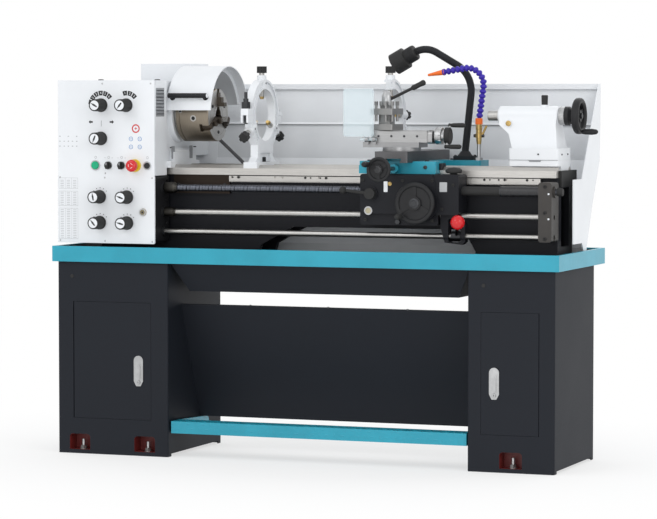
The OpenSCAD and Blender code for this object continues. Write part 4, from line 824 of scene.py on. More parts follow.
class NodeTree:
    """Writes one geometry tree with named inputs."""

    def __init__(self, name: str, inputs: Sequence[tuple[str, str, Any]]) -> None:
        """Makes the tree, its sockets and its two ends."""
        self.tree = bpy.data.node_groups.new(name, "GeometryNodeTree")
        face = self.tree.interface
        face.new_socket("Geometry", in_out="INPUT", socket_type="NodeSocketGeometry")
        self.ids: dict[str, str] = {}
        for label, kind, default in inputs:
            socket = face.new_socket(label, in_out="INPUT", socket_type=kind)
            if default is not None:
                socket.default_value = default
            self.ids[label] = socket.identifier
        face.new_socket("Geometry", in_out="OUTPUT", socket_type="NodeSocketGeometry")
        self.start = self.tree.nodes.new("NodeGroupInput")

    def __getitem__(self, label: str) -> Any:
        """The socket of an input."""
        return self.start.outputs[label]

    def add(self, kind: str, settings: Settings = None, sockets: Sockets = None) -> Any:
        """Adds a node, as write_node does."""
        return write_node(self.tree, kind, settings, sockets)

    def end(self, instances: Any) -> None:
        """Realizes the instances, sets their material and ends the tree."""
        solid = self.add("GeometryNodeRealizeInstances", {}, {"Geometry": instances})
        dressed = self.add("GeometryNodeSetMaterial", {},
                           {"Geometry": solid.outputs[0], "Material": self["Material"]})
        self.add("NodeGroupOutput", {}, {0: dressed.outputs[0]})

    def run(self, name: str, carrier: bpy.types.Object, values: dict[str, Any], node: str) -> bpy.types.Object:
        """Evaluates the tree on a carrier object and keeps the result as a plain piece.

        Args:
            name: the piece's name.
            carrier: the object that holds the points or the path.
            values: the modifier's inputs by label.
            node: a CAD node whose body the piece rides on.

        Returns:
            The finished object.
        """
        modifier = carrier.modifiers.new("repeat", "NODES")
        modifier.node_group = self.tree
        for label, value in values.items():
            modifier[self.ids[label]] = value
        bpy.context.view_layer.update()
        result = carrier.evaluated_get(bpy.context.evaluated_depsgraph_get())
        mesh = bpy.data.meshes.new_from_object(result)
        carrier.modifiers.remove(modifier)
        bpy.data.objects.remove(carrier)
        work = bmesh.new()
        work.from_mesh(mesh)
        shade_smooth(work, SMOOTH)
        work.to_mesh(mesh)
        work.free()
        mesh.name = name
        return settle(linked(name, mesh), node)

    def repeat(self, name: str, carrier: bpy.types.Object, shape: "Form", values: dict[str, Any], node: str,
               slot: str) -> bpy.types.Object:
        """Runs a tree that repeats a small shape; the arguments are those of run, with the shape."""
        source = linked(name + "_shape", shape.to_mesh())
        piece = self.run(name, carrier, {"Shape": source, **values}, node)
        bpy.data.objects.remove(source)
        return piece


@dataclass
class Scatter:
    """Places one small shape at many points, each with its own turn."""

    shape: Form
    finish: Finish
    points: list[tuple[Any, Point]] = field(default_factory=list)

    def at(self, place: Any, turn: Point = (0.0, 0.0, 0.0)) -> "Scatter":
        """Adds a place in millimetres and a turn in degrees."""
        self.points.append((place, turn))
        return self

    @staticmethod
    def tree() -> NodeTree:
        """Instances of the shape on the points."""
        made = NodeTree("scatter_shape", [("Shape", "NodeSocketObject", None), ("Size", "NodeSocketFloat", 1.0),
                                          ("Material", "NodeSocketMaterial", None)])
        shape = made.add("GeometryNodeObjectInfo", {}, {"Object": made["Shape"], "As Instance": True})
        turn = made.add("GeometryNodeInputNamedAttribute", {"data_type": "FLOAT_VECTOR"}, {"Name": "turn"})
        spin = made.add("FunctionNodeEulerToRotation", {}, {0: turn.outputs[0]})
        copies = made.add("GeometryNodeInstanceOnPoints", {}, {
            "Points": made["Geometry"], "Instance": shape.outputs["Geometry"],
            "Rotation": spin.outputs[0], "Scale": made["Size"]})
        made.end(copies.outputs[0])
        return made

    def done(self, name: str, node: str, slot: str) -> bpy.types.Object:
        """Runs the tree and returns the plain piece."""
        mesh = bpy.data.meshes.new(name + "_points")
        mesh.from_pydata([Vector(place) * (1.0 / PER_METRE) for place, _ in self.points], [], [])
        turns = mesh.attributes.new("turn", "FLOAT_VECTOR", "POINT")
        for i, (_, turn) in enumerate(self.points):
            turns.data[i].vector = [radians(a) for a in turn]
        values = {"Size": 1.0, "Material": self.finish.build()}
        return self.tree().repeat(name, linked(mesh.name, mesh), self.shape, values, node, slot)


@dataclass
class AlongPath:
    """Places one small shape at even steps along a path, square to it."""

    shape: Form
    finish: Finish
    spacing: float

    @staticmethod
    def tree() -> NodeTree:
        """Instances on the resampled curve, turned to its tangent."""
        made = NodeTree("shape_along_path", [("Shape", "NodeSocketObject", None), ("Spacing", "NodeSocketFloat", 0.01),
                                             ("Material", "NodeSocketMaterial", None)])
        even = made.add("GeometryNodeResampleCurve", {"mode": "LENGTH"},
                        {"Curve": made["Geometry"], "Length": made["Spacing"]})
        tangent = made.add("GeometryNodeInputTangent")
        turn = made.add("FunctionNodeAlignRotationToVector", {"axis": "Z"}, {"Vector": tangent.outputs[0]})
        shape = made.add("GeometryNodeObjectInfo", {}, {"Object": made["Shape"], "As Instance": True})
        copies = made.add("GeometryNodeInstanceOnPoints", {}, {
            "Points": even.outputs[0], "Instance": shape.outputs["Geometry"], "Rotation": turn.outputs[0]})
        made.end(copies.outputs[0])
        return made

    def done(self, name: str, path: Sequence[Any], node: str, slot: str) -> bpy.types.Object:
        """Runs the tree on a path in millimetres."""
        curve = bpy.data.curves.new(name + "_path", "CURVE")
        curve.dimensions = "3D"
        line = curve.splines.new("POLY")
        line.points.add(len(path) - 1)
        for point, place in zip(line.points, path):
            point.co = (*(Vector(place) * (1.0 / PER_METRE)), 1.0)
        values = {"Spacing": self.spacing / PER_METRE, "Material": self.finish.build()}
        return self.tree().repeat(name, linked(curve.name, curve), self.shape, values, node, slot)


def bent_route(start: Any, heading: float, moves: Sequence[tuple[float, ...]], step: float = 3.0) -> list[Vector]:
    """Points along straights (length) and left turns (radius, degrees) in the XZ plane.

    Args:
        start: the first point.
        heading: degrees from +Z towards +X.
        moves: the straights and the turns, in order.
        step: distance between points.

    Returns:
        The points, with the end's exact place last.
    """
    points = [Vector(start)]
    angle = radians(heading)
    for move in moves:
        turn = radians(move[1]) if len(move) > 1 else 0.0
        length = move[0] * turn if turn else move[0]
        count = max(2, round(length / step))
        for _ in range(count):
            angle -= turn / count / 2
            points.append(points[-1] + Vector((sin(angle), 0.0, cos(angle))) * (length / count))
            angle -= turn / count / 2
    return points


def circle_points(x: float, y: float, radius: float, start: float = 0.0, end: float = 360.0,
                  count: int = 24) -> list[tuple[float, float]]:
    """Points of an arc, without its last point where it is a whole circle."""
    whole = abs(end - start) >= 359.9
    span = count if whole else count - 1
    return [(x + radius * cos(radians(start + (end - start) * k / span)),
             y + radius * sin(radians(start + (end - start) * k / span))) for k in range(count)]


def rounded(lo: tuple[float, float], hi: tuple[float, float], radius: float) -> list[tuple[float, float]]:
    """Outline of a rounded rectangle."""
    outline: list[tuple[float, float]] = []
    for cx, cy, a in ((hi[0] - radius, hi[1] - radius, 0), (lo[0] + radius, hi[1] - radius, 90),
                      (lo[0] + radius, lo[1] + radius, 180), (hi[0] - radius, lo[1] + radius, 270)):
        outline += circle_points(cx, cy, radius, a, a + 90, 6)
    return outline


def cap_screw(radius: float = 4.0, height: float = 4.0) -> Form:
    """A socket head screw that stands on the origin along +Z, with its hexagonal recess."""
    sides = 24
    turns = [2 * pi * k / sides for k in range(sides)]
    points: list[Any] = []
    for z, r in ((0.0, radius), (height - 0.4, radius), (height, radius * 0.88)):
        points += [(r * cos(a), r * sin(a), z) for a in turns]
    socket = radius * 0.52
    for z in (height, height * 0.35):
        for a in turns:
            flat = cos(pi / 6) / cos((a % (pi / 3)) - pi / 6)
            points.append((socket * flat * cos(a), socket * flat * sin(a), z))
    loops: list[Sequence[int]] = [tuple(range(sides)), tuple(range(4 * sides, 5 * sides))]
    for low in range(0, 4 * sides, sides):
        for k in range(sides):
            n = (k + 1) % sides
            loops.append((low + k, low + sides + k, low + sides + n, low + n))
    return Form("cap_screw", DARK_STEEL).shell(points, loops)


def pan_screw(radius: float = 3.5, height: float = 2.0) -> Form:
    """A domed screw with a cross recess, on the origin along +Z."""
    form = Form("pan_screw", SATIN_CHROME)
    dome = [(0, radius), (height * 0.45, radius), (height * 0.8, radius * 0.8), (height, radius * 0.5), (height, 0)]
    form.lathe(dome, (0, 0, 0), UP, 18)
    for turn in (0, 90):
        c, s = cos(radians(turn)), sin(radians(turn))
        half, thin = radius * 0.55, radius * 0.11
        outline = [(half, thin), (-half, thin), (-half, -thin), (half, -thin)]
        form.prism([(u * c - v * s, u * s + v * c) for u, v in outline], Axis.Z, height - 0.05, height + 0.06)
    return form


def hex_head(across: float = 13.0, height: float = 6.0) -> Form:
    """A hexagon bolt head with its washer face, on the origin along +Z."""
    form = Form("hex_head", DARK_STEEL)
    form.lathe([(0, across * 0.66), (1.2, across * 0.66), (1.2, across * 0.5)], (0, 0, 0), UP, 24)
    radius = across / 2 / cos(pi / 6)
    form.lathe([(1.0, radius), (height - 0.8, radius), (height, radius * 0.86), (height, 0)], (0, 0, 0), UP, 6)
    return form


# ---- sub-assemblies ----------------------------------------------------------


@dataclass
class Assembly:
    """A sub-assembly that builds its pieces and dresses its CAD nodes."""


    def dress(self, node: str, finish: Finish, slot: str, *paints: tuple[Finish, Region],
              bevel: float = 0.0, angle: float = SMOOTH) -> bpy.types.Object:
        """Stands a merged, smoothly shaded copy for a CAD node.

        Args:
            node: the node.
            finish: its main finish.
            slot: the record's material slot; passed on to Form.done, which does not use it.
            paints: finishes for regions of it, in order.
            bevel: width of its eased edges, in millimetres.
            angle: the sharpest angle that is still shaded smooth.

        Returns:
            The copy.
        """
        form = Form(node + "_skin").copy(node, finish)
        for other, region in paints:
            form.paint(other, region)
        return form.done(node, slot, hides=True, bevel=bevel, angle=angle)

    def build(self) -> None:
        """Builds every piece."""
        raise NotImplementedError


@dataclass
class Cabinets(Assembly):
    """The two pedestals, their doors, the leaning screen, the trough and the pedal."""

    pocket_x: tuple[float, ...] = (-714.0, -499.0, 654.0)
    pocket_z: float = 62.0
    front_y: float = -210.0
    rear_y: float = 200.0

    def build(self) -> None:
        """Dresses the cabinets and adds their small parts."""
        for node in ("left_pedestal", "right_pedestal"):
            paints = []
            for x in self.pocket_x:
                for y0, y1 in ((self.front_y + 0.6, self.front_y + 60), (self.rear_y - 60, self.rear_y - 0.6)):
                    paints.append((POCKET_RED, Region((x - 35, y0, 11.0), (x + 35, y1, self.pocket_z))))
            self.dress(node, CABINET, "cabinet_black", *paints, bevel=0.5)
        self.dress("front_panel", CABINET, "cabinet_black", bevel=0.5)
        for node, side in (("left_door", 1.0), ("right_door", -1.0)):
            low, high = corners(node)
            latch = high.x - 40 if side > 0 else low.x + 40
            lo, hi = (latch - 18, low.y - 1, 205.0), (latch + 18, self.front_y - 0.05, 310.0)
            self.dress(node, CABINET, "cabinet_black", (SATIN_CHROME, Region(lo, hi)), bevel=0.4)
            self.latch(node, latch)
        self.anchors()
        self.pedal()
        self.panel_edges()

    def latch(self, node: str, x: float) -> None:
        """Adds the lever's grip of a door latch, and a black slot that is painted shade for its keyhole."""
        y = self.front_y - 4.0
        form = Form(node + "_latch", SATIN_CHROME)
        form.prism(rounded((x - 6, 232.0), (x + 6, 276.0), 5.5), Axis.Y, y - 1.4, y + 0.5)
        form.lathe([(0, 6.0), (1.2, 6.0), (1.6, 5.4)], (x, y - 0.2, 223.0), OUT, 28)
        # Painted shade: a black slot stands for the dark keyhole.
        form.use(PRINT_BLACK).box((x - 0.8, y - 2.0, 220.0), (x + 0.8, y - 1.4, 226.0))
        form.done(node, "steel", bevel=0.3)

    def anchors(self) -> None:
        """Levelling bolts with their nuts, in the anchor pockets."""
        for node, places in (("left_pedestal", self.pocket_x[:2]), ("right_pedestal", self.pocket_x[2:])):
            form = Form(node + "_levelling_bolts")
            for x in places:
                for y in (self.front_y + 27, self.rear_y - 27):
                    form.use(SATIN_CHROME).rod((x, y, 12.0), (x, y, 42.0), 5.0, 20)
                    for k in range(9):
                        form.washer((x, y, 27.0 + k * 1.6), UP, 5.6, 4.4, 0.8, 20)
                    form.use(TURNED_UP).lathe([(0, 13), (2, 13)], (x, y, 12.05), UP, 28)
                    form.lathe([(0, 9.2), (8, 9.2), (8.8, 8.2), (8.8, 0)], (x, y, 14.0), UP, 6)
            form.done(node, "steel")

    def pedal(self) -> None:
        """Raised lozenges on the pedal's tread."""
        low, high = corners("foot_pedal")
        self.dress("foot_pedal", TURQUOISE, "turquoise", bevel=0.4)
        lug = Form("lug", TURQUOISE)
        lug.lathe([(-0.4, 8.0), (0.5, 7.4), (0.9, 5.0), (1.0, 0)], (0, 0, 0), UP, 20, squash=0.26)
        treads = Scatter(lug, TURQUOISE)
        x = low.x + 52.0
        k = 0
        while x < high.x - 40:
            for row, y in enumerate((-188.0, -169.0, -150.0)):
                treads.at((x + (row % 2) * 12, y, 107.6), (0.0, 0.0, 45.0 if (k + row) % 2 else -45.0))
            x += 24.0
            k += 1
        for k in range(int((high.x - low.x - 60) / 24)):
            for row, z in enumerate((86.0, 101.0)):
                lean = 45.0 if (k + row) % 2 else -45.0
                treads.at((low.x + 42.0 + k * 24.0 + row * 12, low.y + 0.4, z), (90.0, lean, 0.0))
        treads.done("pedal_treads", "foot_pedal", "turquoise")

    def panel_edges(self) -> None:
        """Screws of the leaning screen and the blind caps of the cabinets."""
        screws = Scatter(pan_screw(4.0, 2.2), SATIN_CHROME)
        for x in (-410.0, 511.0):
            screws.at((x, -98.0, 452.1), (0.0, 0.0, 20.0))
        for x in (-200.0, 50.0, 300.0):
            screws.at((x, -98.0, 455.1), (0.0, 0.0, 70.0))
        screws.done("screen_screws", "front_panel", "steel")
        for node in ("left_pedestal", "right_pedestal"):
            low, _ = corners(node)
            cap = Form(node + "_cap", BLACK_PLASTIC)
            cap.lathe([(-6, 3.8), (0.1, 3.8), (0.2, 6.0), (1.2, 5.6), (1.6, 4.2), (1.6, 0)],
                      (low.x + 48, self.front_y, 539.0), OUT, 28)
            cap.done(node, "black_plastic")


@dataclass
class Tray(Assembly):
    """The chip tray: turquoise outside, dark inside."""

    def build(self) -> None:
        """Dresses the tray."""
        low, high = corners("chip_tray")
        inside = Region((low.x + 2.6, low.y + 2.6, low.z + 2), (high.x - 2.6, high.y - 2.6, high.z - 2.5))
        self.dress("chip_tray", TURQUOISE, "turquoise", (CAST_BLACK, inside), bevel=0.6)


@dataclass
class Bed(Assembly):
    """The cast bed with its ways, gap bridge, rack and right end bracket."""

    way_z: float = 867.0
    half: float = 93.0

    def build(self) -> None:
        """Dresses the bed, then adds the rack's teeth and its screws."""
        low, high = corners("bed")
        z = self.way_z
        ways = Region((low.x - 1, -self.half - 1, z - 20.5), (high.x + 1, self.half + 1, z + 12))
        bridge = Region((-454.9, -self.half + 6, z - 80), (-272.1, self.half - 6, z - 20.6), whole=True)
        rack = Region((-272.5, -self.half + 1, z - 40), (high.x, -74.0, z - 22), whole=True)
        tread = Region((-456.0, -self.half - 1, z - 20.7), (-271.0, self.half + 1, z + 12))
        self.dress("bed", BED_BLACK, "bed_black", (GROUND, ways), (BRIDGE_IRON, bridge), (GROUND, tread),
                   (GROUND, rack), bevel=0.5)
        self.rack_screws()
        self.rack_teeth()
        self.end_bracket()
        self.way_screws()

    def rack_screws(self) -> None:
        """Socket screws and taper pins along the rack."""
        for name, radius, places in (("rack_screws", 3.6, (-242.0, -26.0, 40.0, 280.0, 534.0, 596.0, 664.0)),
                                     ("rack_pins", 2.2, (-260.0, -9.0, 22.0, 297.0, 551.0, 578.0, 682.0))):
            screws = Scatter(cap_screw(radius, 2.0), BLACK_PLASTIC)
            for x in places:
                screws.at((x, -self.half + 3.0, self.way_z - 27), FRONT)
            screws.done(name, "bed", "dark_steel")

    def rack_teeth(self) -> None:
        """Teeth on the rack's lower edge."""
        tooth = Form("tooth", GROUND)
        tooth.prism([(-1.5, 0.2), (1.5, 0.2), (0.7, -2.6), (-0.7, -2.6)], Axis.Y, -13.0, 0.0)
        teeth = Scatter(tooth, GROUND)
        for k in range(206):
            teeth.at((-269.5 + k * 4.7, -76.0, self.way_z - 39.0))
        teeth.done("rack_teeth", "bed", "steel")

    def way_screws(self) -> None:
        """Bridge screws, front and back of the gap bridge."""
        screws = Scatter(cap_screw(4.5, 3.0), DARK_STEEL)
        for x in (-440.0, -288.0):
            screws.at((x, -self.half + 7.6, self.way_z - 50), FRONT)
            screws.at((x, self.half - 7.6, self.way_z - 50), BACK)
        screws.done("bridge_screws", "bed", "dark_steel")

    def end_bracket(self) -> None:
        """The right end bracket with its screws and plain end plate."""
        low, high = corners("end_bracket")
        cast = Plastic("bracket_iron", (0.040, 0.036, 0.033), gloss=0.42, grain=500.0, depth=0.0001)
        plate = Region((752.0, -64.0, 815.0), (761.0, 94.0, 868.0), whole=True)
        cover = Region((590.0, -160.0, 780.0), (720.0, -110.0, 830.0), whole=True)
        self.dress("end_bracket", cast, "bed_black", (BLACK_PLASTIC, plate), (COVER_BLACK, cover), bevel=0.5)
        screws = Scatter(cap_screw(5.0, 3.0), BLACK_PLASTIC)
        for z in (824.0, 749.0, 674.0):
            screws.at((740.0, -164.0, z), FRONT)
        screws.done("bracket_screws", "end_bracket", "dark_steel")
        pins = Scatter(pan_screw(3.0, 1.6), WHITE)
        for z in (803.0, 731.0):
            pins.at((751.0, -164.0, z), FRONT)
        pins.done("bracket_pins", "end_bracket", "steel")
        rings = Form("cover_bands", DARK_STEEL)
        for x in (low.x + 1.0, 715.0):
            rings.washer((x, -135.0, 808.0), TAIL, 16.2, 15.3, 3.0, 48)
        rings.done("end_bracket", "dark_steel")


@dataclass
class Headstock(Assembly):
    """The headstock casting, the end cover, the electrical box, the gearbox and the control box."""

    face_y: float = -205.0
    left: float = -787.0
    right: float = -466.0
    seam_z: float = 845.0
    top_z: float = 1131.0

    def build(self) -> None:
        """Dresses the castings and boxes and adds their hardware."""
        self.dress("headstock", WHITE, "white", bevel=0.6)
        self.dress("end_cover", WHITE, "white", bevel=0.6)
        stop_base = Region((-550, -215, 850), (-508, -204, 900), whole=True)
        louvres = Region((self.right - 6, self.face_y + 13.6, 1026), (self.right - 0.6, self.face_y + 71, 1104))
        self.dress("control_box", WHITE, "white", (YELLOW, stop_base), (LOUVRE_GREY, louvres), bevel=0.6)
        casting = Region((self.left, self.face_y + 6.1, 630), (self.right + 10, -90, 845.4), whole=True)
        sight = Region((-517, -208, 722), (-493, -199.5, 748), whole=True)
        self.dress("gearbox", WHITE, "white", (CAST_BLACK, casting), (BRASS, sight), bevel=0.5)
        self.louvre_panel()
        self.side_plates()
        self.oil_sight()
        self.fasteners()
        self.box_back()

    def louvre_panel(self) -> None:
        """The grey frame and the blades of the louvres on the control box's right side."""
        blades = Form("louvre_blades", LOUVRE_GREY)
        low, high = self.face_y + 13.0, self.face_y + 71.0
        for k in range(9):
            z = 1022.0 + k * 10
            blades.box((self.right - 0.2, low, z + 0.1), (self.right + 0.5, high, z + 5.9))
            if k < 8:
                blades.prism([(self.right - 4.6, z + 6.6), (self.right - 4.2, z + 6.4), (self.right - 0.4, z + 9.2),
                              (self.right - 0.8, z + 9.6)], Axis.Y, low + 1.2, high - 1.2)
        for y in (low, high):
            blades.box((self.right - 0.2, y - 1.0, 1022.1), (self.right + 0.6, y + 1.0, 1107.9))
        blades.done("control_box", "white")

    def side_plates(self) -> None:
        """Two narrow grey cover plates low on the casting's side, and the grey conduit behind the chuck."""
        form = Form("side_cover_plates", LOUVRE_GREY)
        for y, x in ((-84.0, -458.5), (44.0, -455.0)):
            form.prism(rounded((y - 11.0, 893.0), (y + 11.0, 932.0), 2.0), Axis.X, x - 0.5, x + 0.9)
        form.done("headstock", "white")
        route = [(-470, 98, 1013), (-440, 98, 998), (-394, 99, 960), (-350, 101, 920), (-310, 104, 883),
                 (-286, 107, 853), (-274, 108.5, 815), (-270, 109, 740)]
        conduit = Form("grey_conduit").use(Plastic("conduit_grey", (0.085, 0.085, 0.09), gloss=0.5))
        conduit.tube([Vector(point) for point in route], 5.2, 20)
        conduit.done("headstock", "black_plastic")

    def oil_sight(self) -> None:
        """Glass, bezel and level line of the oil sight."""
        at = (-505.0, self.face_y - 2.0, 735.0)
        form = Form("oil_sight", SATIN_CHROME)
        form.washer(at, OUT, 11.4, 8.0, 1.2, 48)
        form.use(Plastic("sight_glass", (0.20, 0.17, 0.10), gloss=0.06)).lathe(
            [(0, 8.0), (0.3, 8.0), (0.8, 5.0), (0.9, 0)], at, OUT, 40)
        form.use(PRINT_BLACK).lathe([(0, 3.2), (1.2, 3.0), (1.2, 0)], at, OUT, 24)
        form.done("gearbox", "steel")

    def fasteners(self) -> None:
        """Screws of the control plates, the casting and the covers."""
        screws = Scatter(pan_screw(2.6, 1.4), SATIN_CHROME)
        y = self.face_y
        for x in (self.left + 150, self.right - 12):
            screws.at((x, y, self.top_z - 10), (90.0, 0.0, 15.0))
        screws.at((self.left + 159, y, self.seam_z + 6), (90.0, 0.0, 50.0))
        screws.done("control_box_screws", "control_box", "steel")
        lower = Scatter(pan_screw(2.6, 1.4), SATIN_CHROME)
        for z in (838.0, 647.0):
            for x in (self.left + 8, self.left + 157, self.right - 8):
                lower.at((x, y, z), (90.0, 0.0, 30.0))
        lower.done("gear_plate_screws", "gearbox", "steel")
        caps = Form("lid_caps", BLACK_PLASTIC)
        for x in (-667.0, -480.0):
            caps.lathe([(-1, 9), (1.4, 9), (3.0, 7), (3.4, 0)], (x, -150.0, self.top_z - 0.2), UP, 32)
        caps.done("control_box", "black_plastic")
        heads = Scatter(cap_screw(5.0, 3.6), DARK_STEEL)
        for z in (668.0, 700.0, 770.0, 832.0):
            heads.at((self.right - 2.0, -112.0, z), RIGHT)
        heads.done("gearbox_side_screws", "gearbox", "dark_steel")
        casing = Scatter(cap_screw(4.5, 3.2), DARK_STEEL)
        for side in (-96.0, 96.0):
            for z in (900.0, 1100.0):
                casing.at((-480.0, side, z), RIGHT)
        for side in (-90.0, 90.0):
            casing.at((-462.0, side, 926.2))
        casing.done("headstock_screws", "headstock", "dark_steel")
        knobs = Form("cover_knobs", BLACK_PLASTIC)
        for z in (1090.0, 690.0):
            knobs.lathe([(0, 6), (3, 6), (4, 12), (14, 13), (16, 11), (16.4, 0)], (-770.0, 109.6, z), REAR, 36)
        knobs.done("end_cover", "black_plastic")

    def box_back(self) -> None:
        """Latches and hinges of the electrical box, plain and at the back."""
        form = Form("electrical_box_fittings", BLACK_PLASTIC)
        for z in (960.0, 1120.0):
            form.lathe([(0, 13), (2, 13), (2.6, 11.5), (2.6, 0)], (-498.0, 248.3, z), REAR, 36)
            form.box((-500.5, 250.7, z - 9), (-495.5, 251.9, z + 9))
        form.use(SATIN_CHROME)
        for z in (940.0, 1140.0):
            form.rod((-646.5, 249.6, z - 24), (-646.5, 249.6, z + 24), 2.2, 16)
        form.done("headstock", "black_plastic")


@dataclass
class ControlFace(Assembly):
    """Knobs, buttons and the printed marks of the control plates."""

    face_y: float = -205.0
    reach: float = 52.0
    knobs: dict[str, float] = field(default_factory=lambda: {
        "speed_knob_1": 150.0, "speed_knob_2": 232.0, "direction_knob": 248.0, "feed_knob_1": 100.0,
        "feed_knob_2": 160.0, "feed_knob_3": 130.0, "feed_knob_4": 165.0})

    def build(self) -> None:
        """Dresses every control and prints the plates."""
        for node, pointer in self.knobs.items():
            self.dress(node, BLACK_PLASTIC, "black_plastic", bevel=0.25)
            self.dial(node, pointer)
        self.dress("start_button", GREEN, "green_plastic", bevel=0.3)
        self.dress("jog_button", BLACK_PLASTIC, "black_plastic", bevel=0.3)
        self.dress("stop_button", RED, "red_plastic", bevel=0.3)
        for node in ("selector_left", "selector_right"):
            self.dress(node, BLACK_PLASTIC, "black_plastic", bevel=0.3)
            low, high = corners(node)
            mark = Form(node + "_mark", WHITE)
            x, z = (low.x + high.x) / 2, (low.z + high.z) / 2
            mark.box((x - 0.6, low.y - 0.25, z + 1), (x + 0.6, low.y + 0.2, z + 9.5))
            mark.done(node, "white")
        self.bezels()
        self.stop_marks()
        self.upper_print()
        self.lower_print()

    def centre(self, node: str) -> tuple[float, float]:
        """A control's centre on the plate."""
        low, high = corners(node)
        return (low.x + high.x) / 2, (low.z + high.z) / 2

    def dial(self, node: str, pointer: float) -> None:
        """The white face of a knob with its ring and pointer."""
        x, z = self.centre(node)
        y = self.face_y - self.reach + 1.5
        form = Form(node + "_face", SATIN_CHROME)
        form.lathe([(-0.3, 17.0), (0.5, 17.0), (0.8, 16.6), (0.8, 0)], (x, y, z), OUT, 48)
        form.use(WHITE).lathe([(0.6, 15.4), (1.0, 15.4), (1.1, 15.1), (1.1, 0)], (x, y, z), OUT, 48)
        c, s = cos(radians(pointer)), sin(radians(pointer))
        wedge = [(14.5, 0.0), (2.0, 2.8), (-9.5, 1.8), (-9.5, -1.8), (2.0, -2.8)]
        form.use(PRINT_BLACK)
        form.prism([(x + u * c - v * s, z + u * s + v * c) for u, v in wedge], Axis.Y, y - 1.35, y - 1.0)
        form.washer((x, y - 1.0, z), OUT, 15.4, 14.4, 0.25, 48)
        form.done(node, "white")

    def patch(self, form: Form, x0: float, z0: float, x1: float, z1: float) -> None:
        """Prints a flat patch on the plates."""
        form.box((x0, self.face_y - PRINT[0], z0), (x1, self.face_y + PRINT[1], z1))

    def bezels(self) -> None:
        """Chromed bezels round the push buttons and selectors."""
        form = Form("button_bezels", SATIN_CHROME)
        for node, outer, inner in (("start_button", 15.5, 12.6), ("jog_button", 13.0, 9.5),
                                   ("selector_left", 12.8, 11.4), ("selector_right", 12.8, 11.4)):
            x, z = self.centre(node)
            form.washer((x, self.face_y - 3.0, z), OUT, outer, inner, 1.0, 48)
        form.done("control_box", "steel")

    def stop_marks(self) -> None:
        """Plain turning arrows on the stop button."""
        low, high = corners("stop_button")
        x, z = self.centre("stop_button")
        form = Form("stop_button_arrows", WHITE)
        for start in (20.0, 140.0, 260.0):
            outer = circle_points(x, z, 7.4, start, start + 70, 8)
            inner = circle_points(x, z, 6.2, start + 70, start, 8)
            form.prism(outer + inner, Axis.Y, low.y - 0.15, low.y + 0.3)
        form.done("stop_button", "white")

    def arc_scale(self, form: Form, node: str, start: float, step: float, numbers: Sequence[str]) -> None:
        """Black tiles with plain numbers round a knob."""
        x, z = self.centre(node)
        for k, text in enumerate(numbers):
            a = start + step * k
            half = step * 0.42
            outer = circle_points(x, z, 43.5, a - half, a + half, 5)
            inner = circle_points(x, z, 29.5, a + half, a - half, 5)
            form.use(PRINT_BLACK).prism(outer + inner, Axis.Y, self.face_y - 0.25, self.face_y + 0.05)
            c, s = cos(radians(a)), sin(radians(a))
            form.use(WHITE).number(text, (x + 36.5 * c, self.face_y - 0.25, z + 36.5 * s), (s, 0, -c), (c, 0, s), 10.5)

    def upper_print(self) -> None:
        """Scales, arrows, rings and the speed table of the upper plate."""
        y = self.face_y
        form = Form("upper_plate_print")
        self.arc_scale(form, "speed_knob_1", 166.0, -24.0, ("1", "2", "3", "4", "5", "6"))
        self.arc_scale(form, "speed_knob_2", 98.0, -25.0, ("1", "2", "3"))
        x, z = self.centre("direction_knob")
        form.use(PRINT_BLACK)
        arrow = ((28, 47), (36, 47), (36, 44), (42, 49.5), (36, 55), (36, 52), (28, 52))
        for side in (-1, 1):
            form.prism([(x + side * u, z + v) for u, v in arrow], Axis.Y, y - PRINT[0], y + PRINT[1])
        self.patch(form, x - 0.5, z + 36, x + 0.5, z + 54)
        form.use(PRINT_RED).washer((-527.0, y, 986.0), OUT, 13.0, 9.2, 0.2, 56)
        self.patch(form, -531.5, 985.0, -522.5, 987.0)
        self.patch(form, -528.0, 981.5, -526.0, 990.5)
        form.use(PRINT_BLUE)
        for cx in (-543.0, -514.0):
            for cz in (955.0, 931.0):
                form.washer((cx, y, cz), OUT, 6.6, 5.2, 0.2, 40)
                self.patch(form, cx - 3.0, cz - 0.7, cx + 3.0, cz + 0.7)
        form.use(LABEL_GREY)
        for node, wide in (("start_button", 4.0), ("jog_button", 4.0), ("selector_left", 4.0), ("selector_right", 4.0)):
            cx, cz = self.centre(node)
            form.washer((cx, y, cz + 24), OUT, wide, wide - 1.2, 0.2, 28)
            if "selector" in node:
                for side in (-1, 1):
                    self.patch(form, cx + side * 12 - 2.5, cz + 22, cx + side * 12 + 2.5, cz + 23.2)
        form.done("control_box", "white")
        marks = Form("mark", PRINT_BLACK)
        marks.box((-2.2, -0.6, 0.0), (2.2, 0.6, 0.2))
        table = Scatter(marks, PRINT_BLACK)
        for row in range(3):
            for column in range(5):
                if row or column % 2 == 0:
                    table.at((-779.0 + column * 14, y, 962.0 - row * 15), FRONT)
        table.done("speed_table_marks", "control_box", "white")

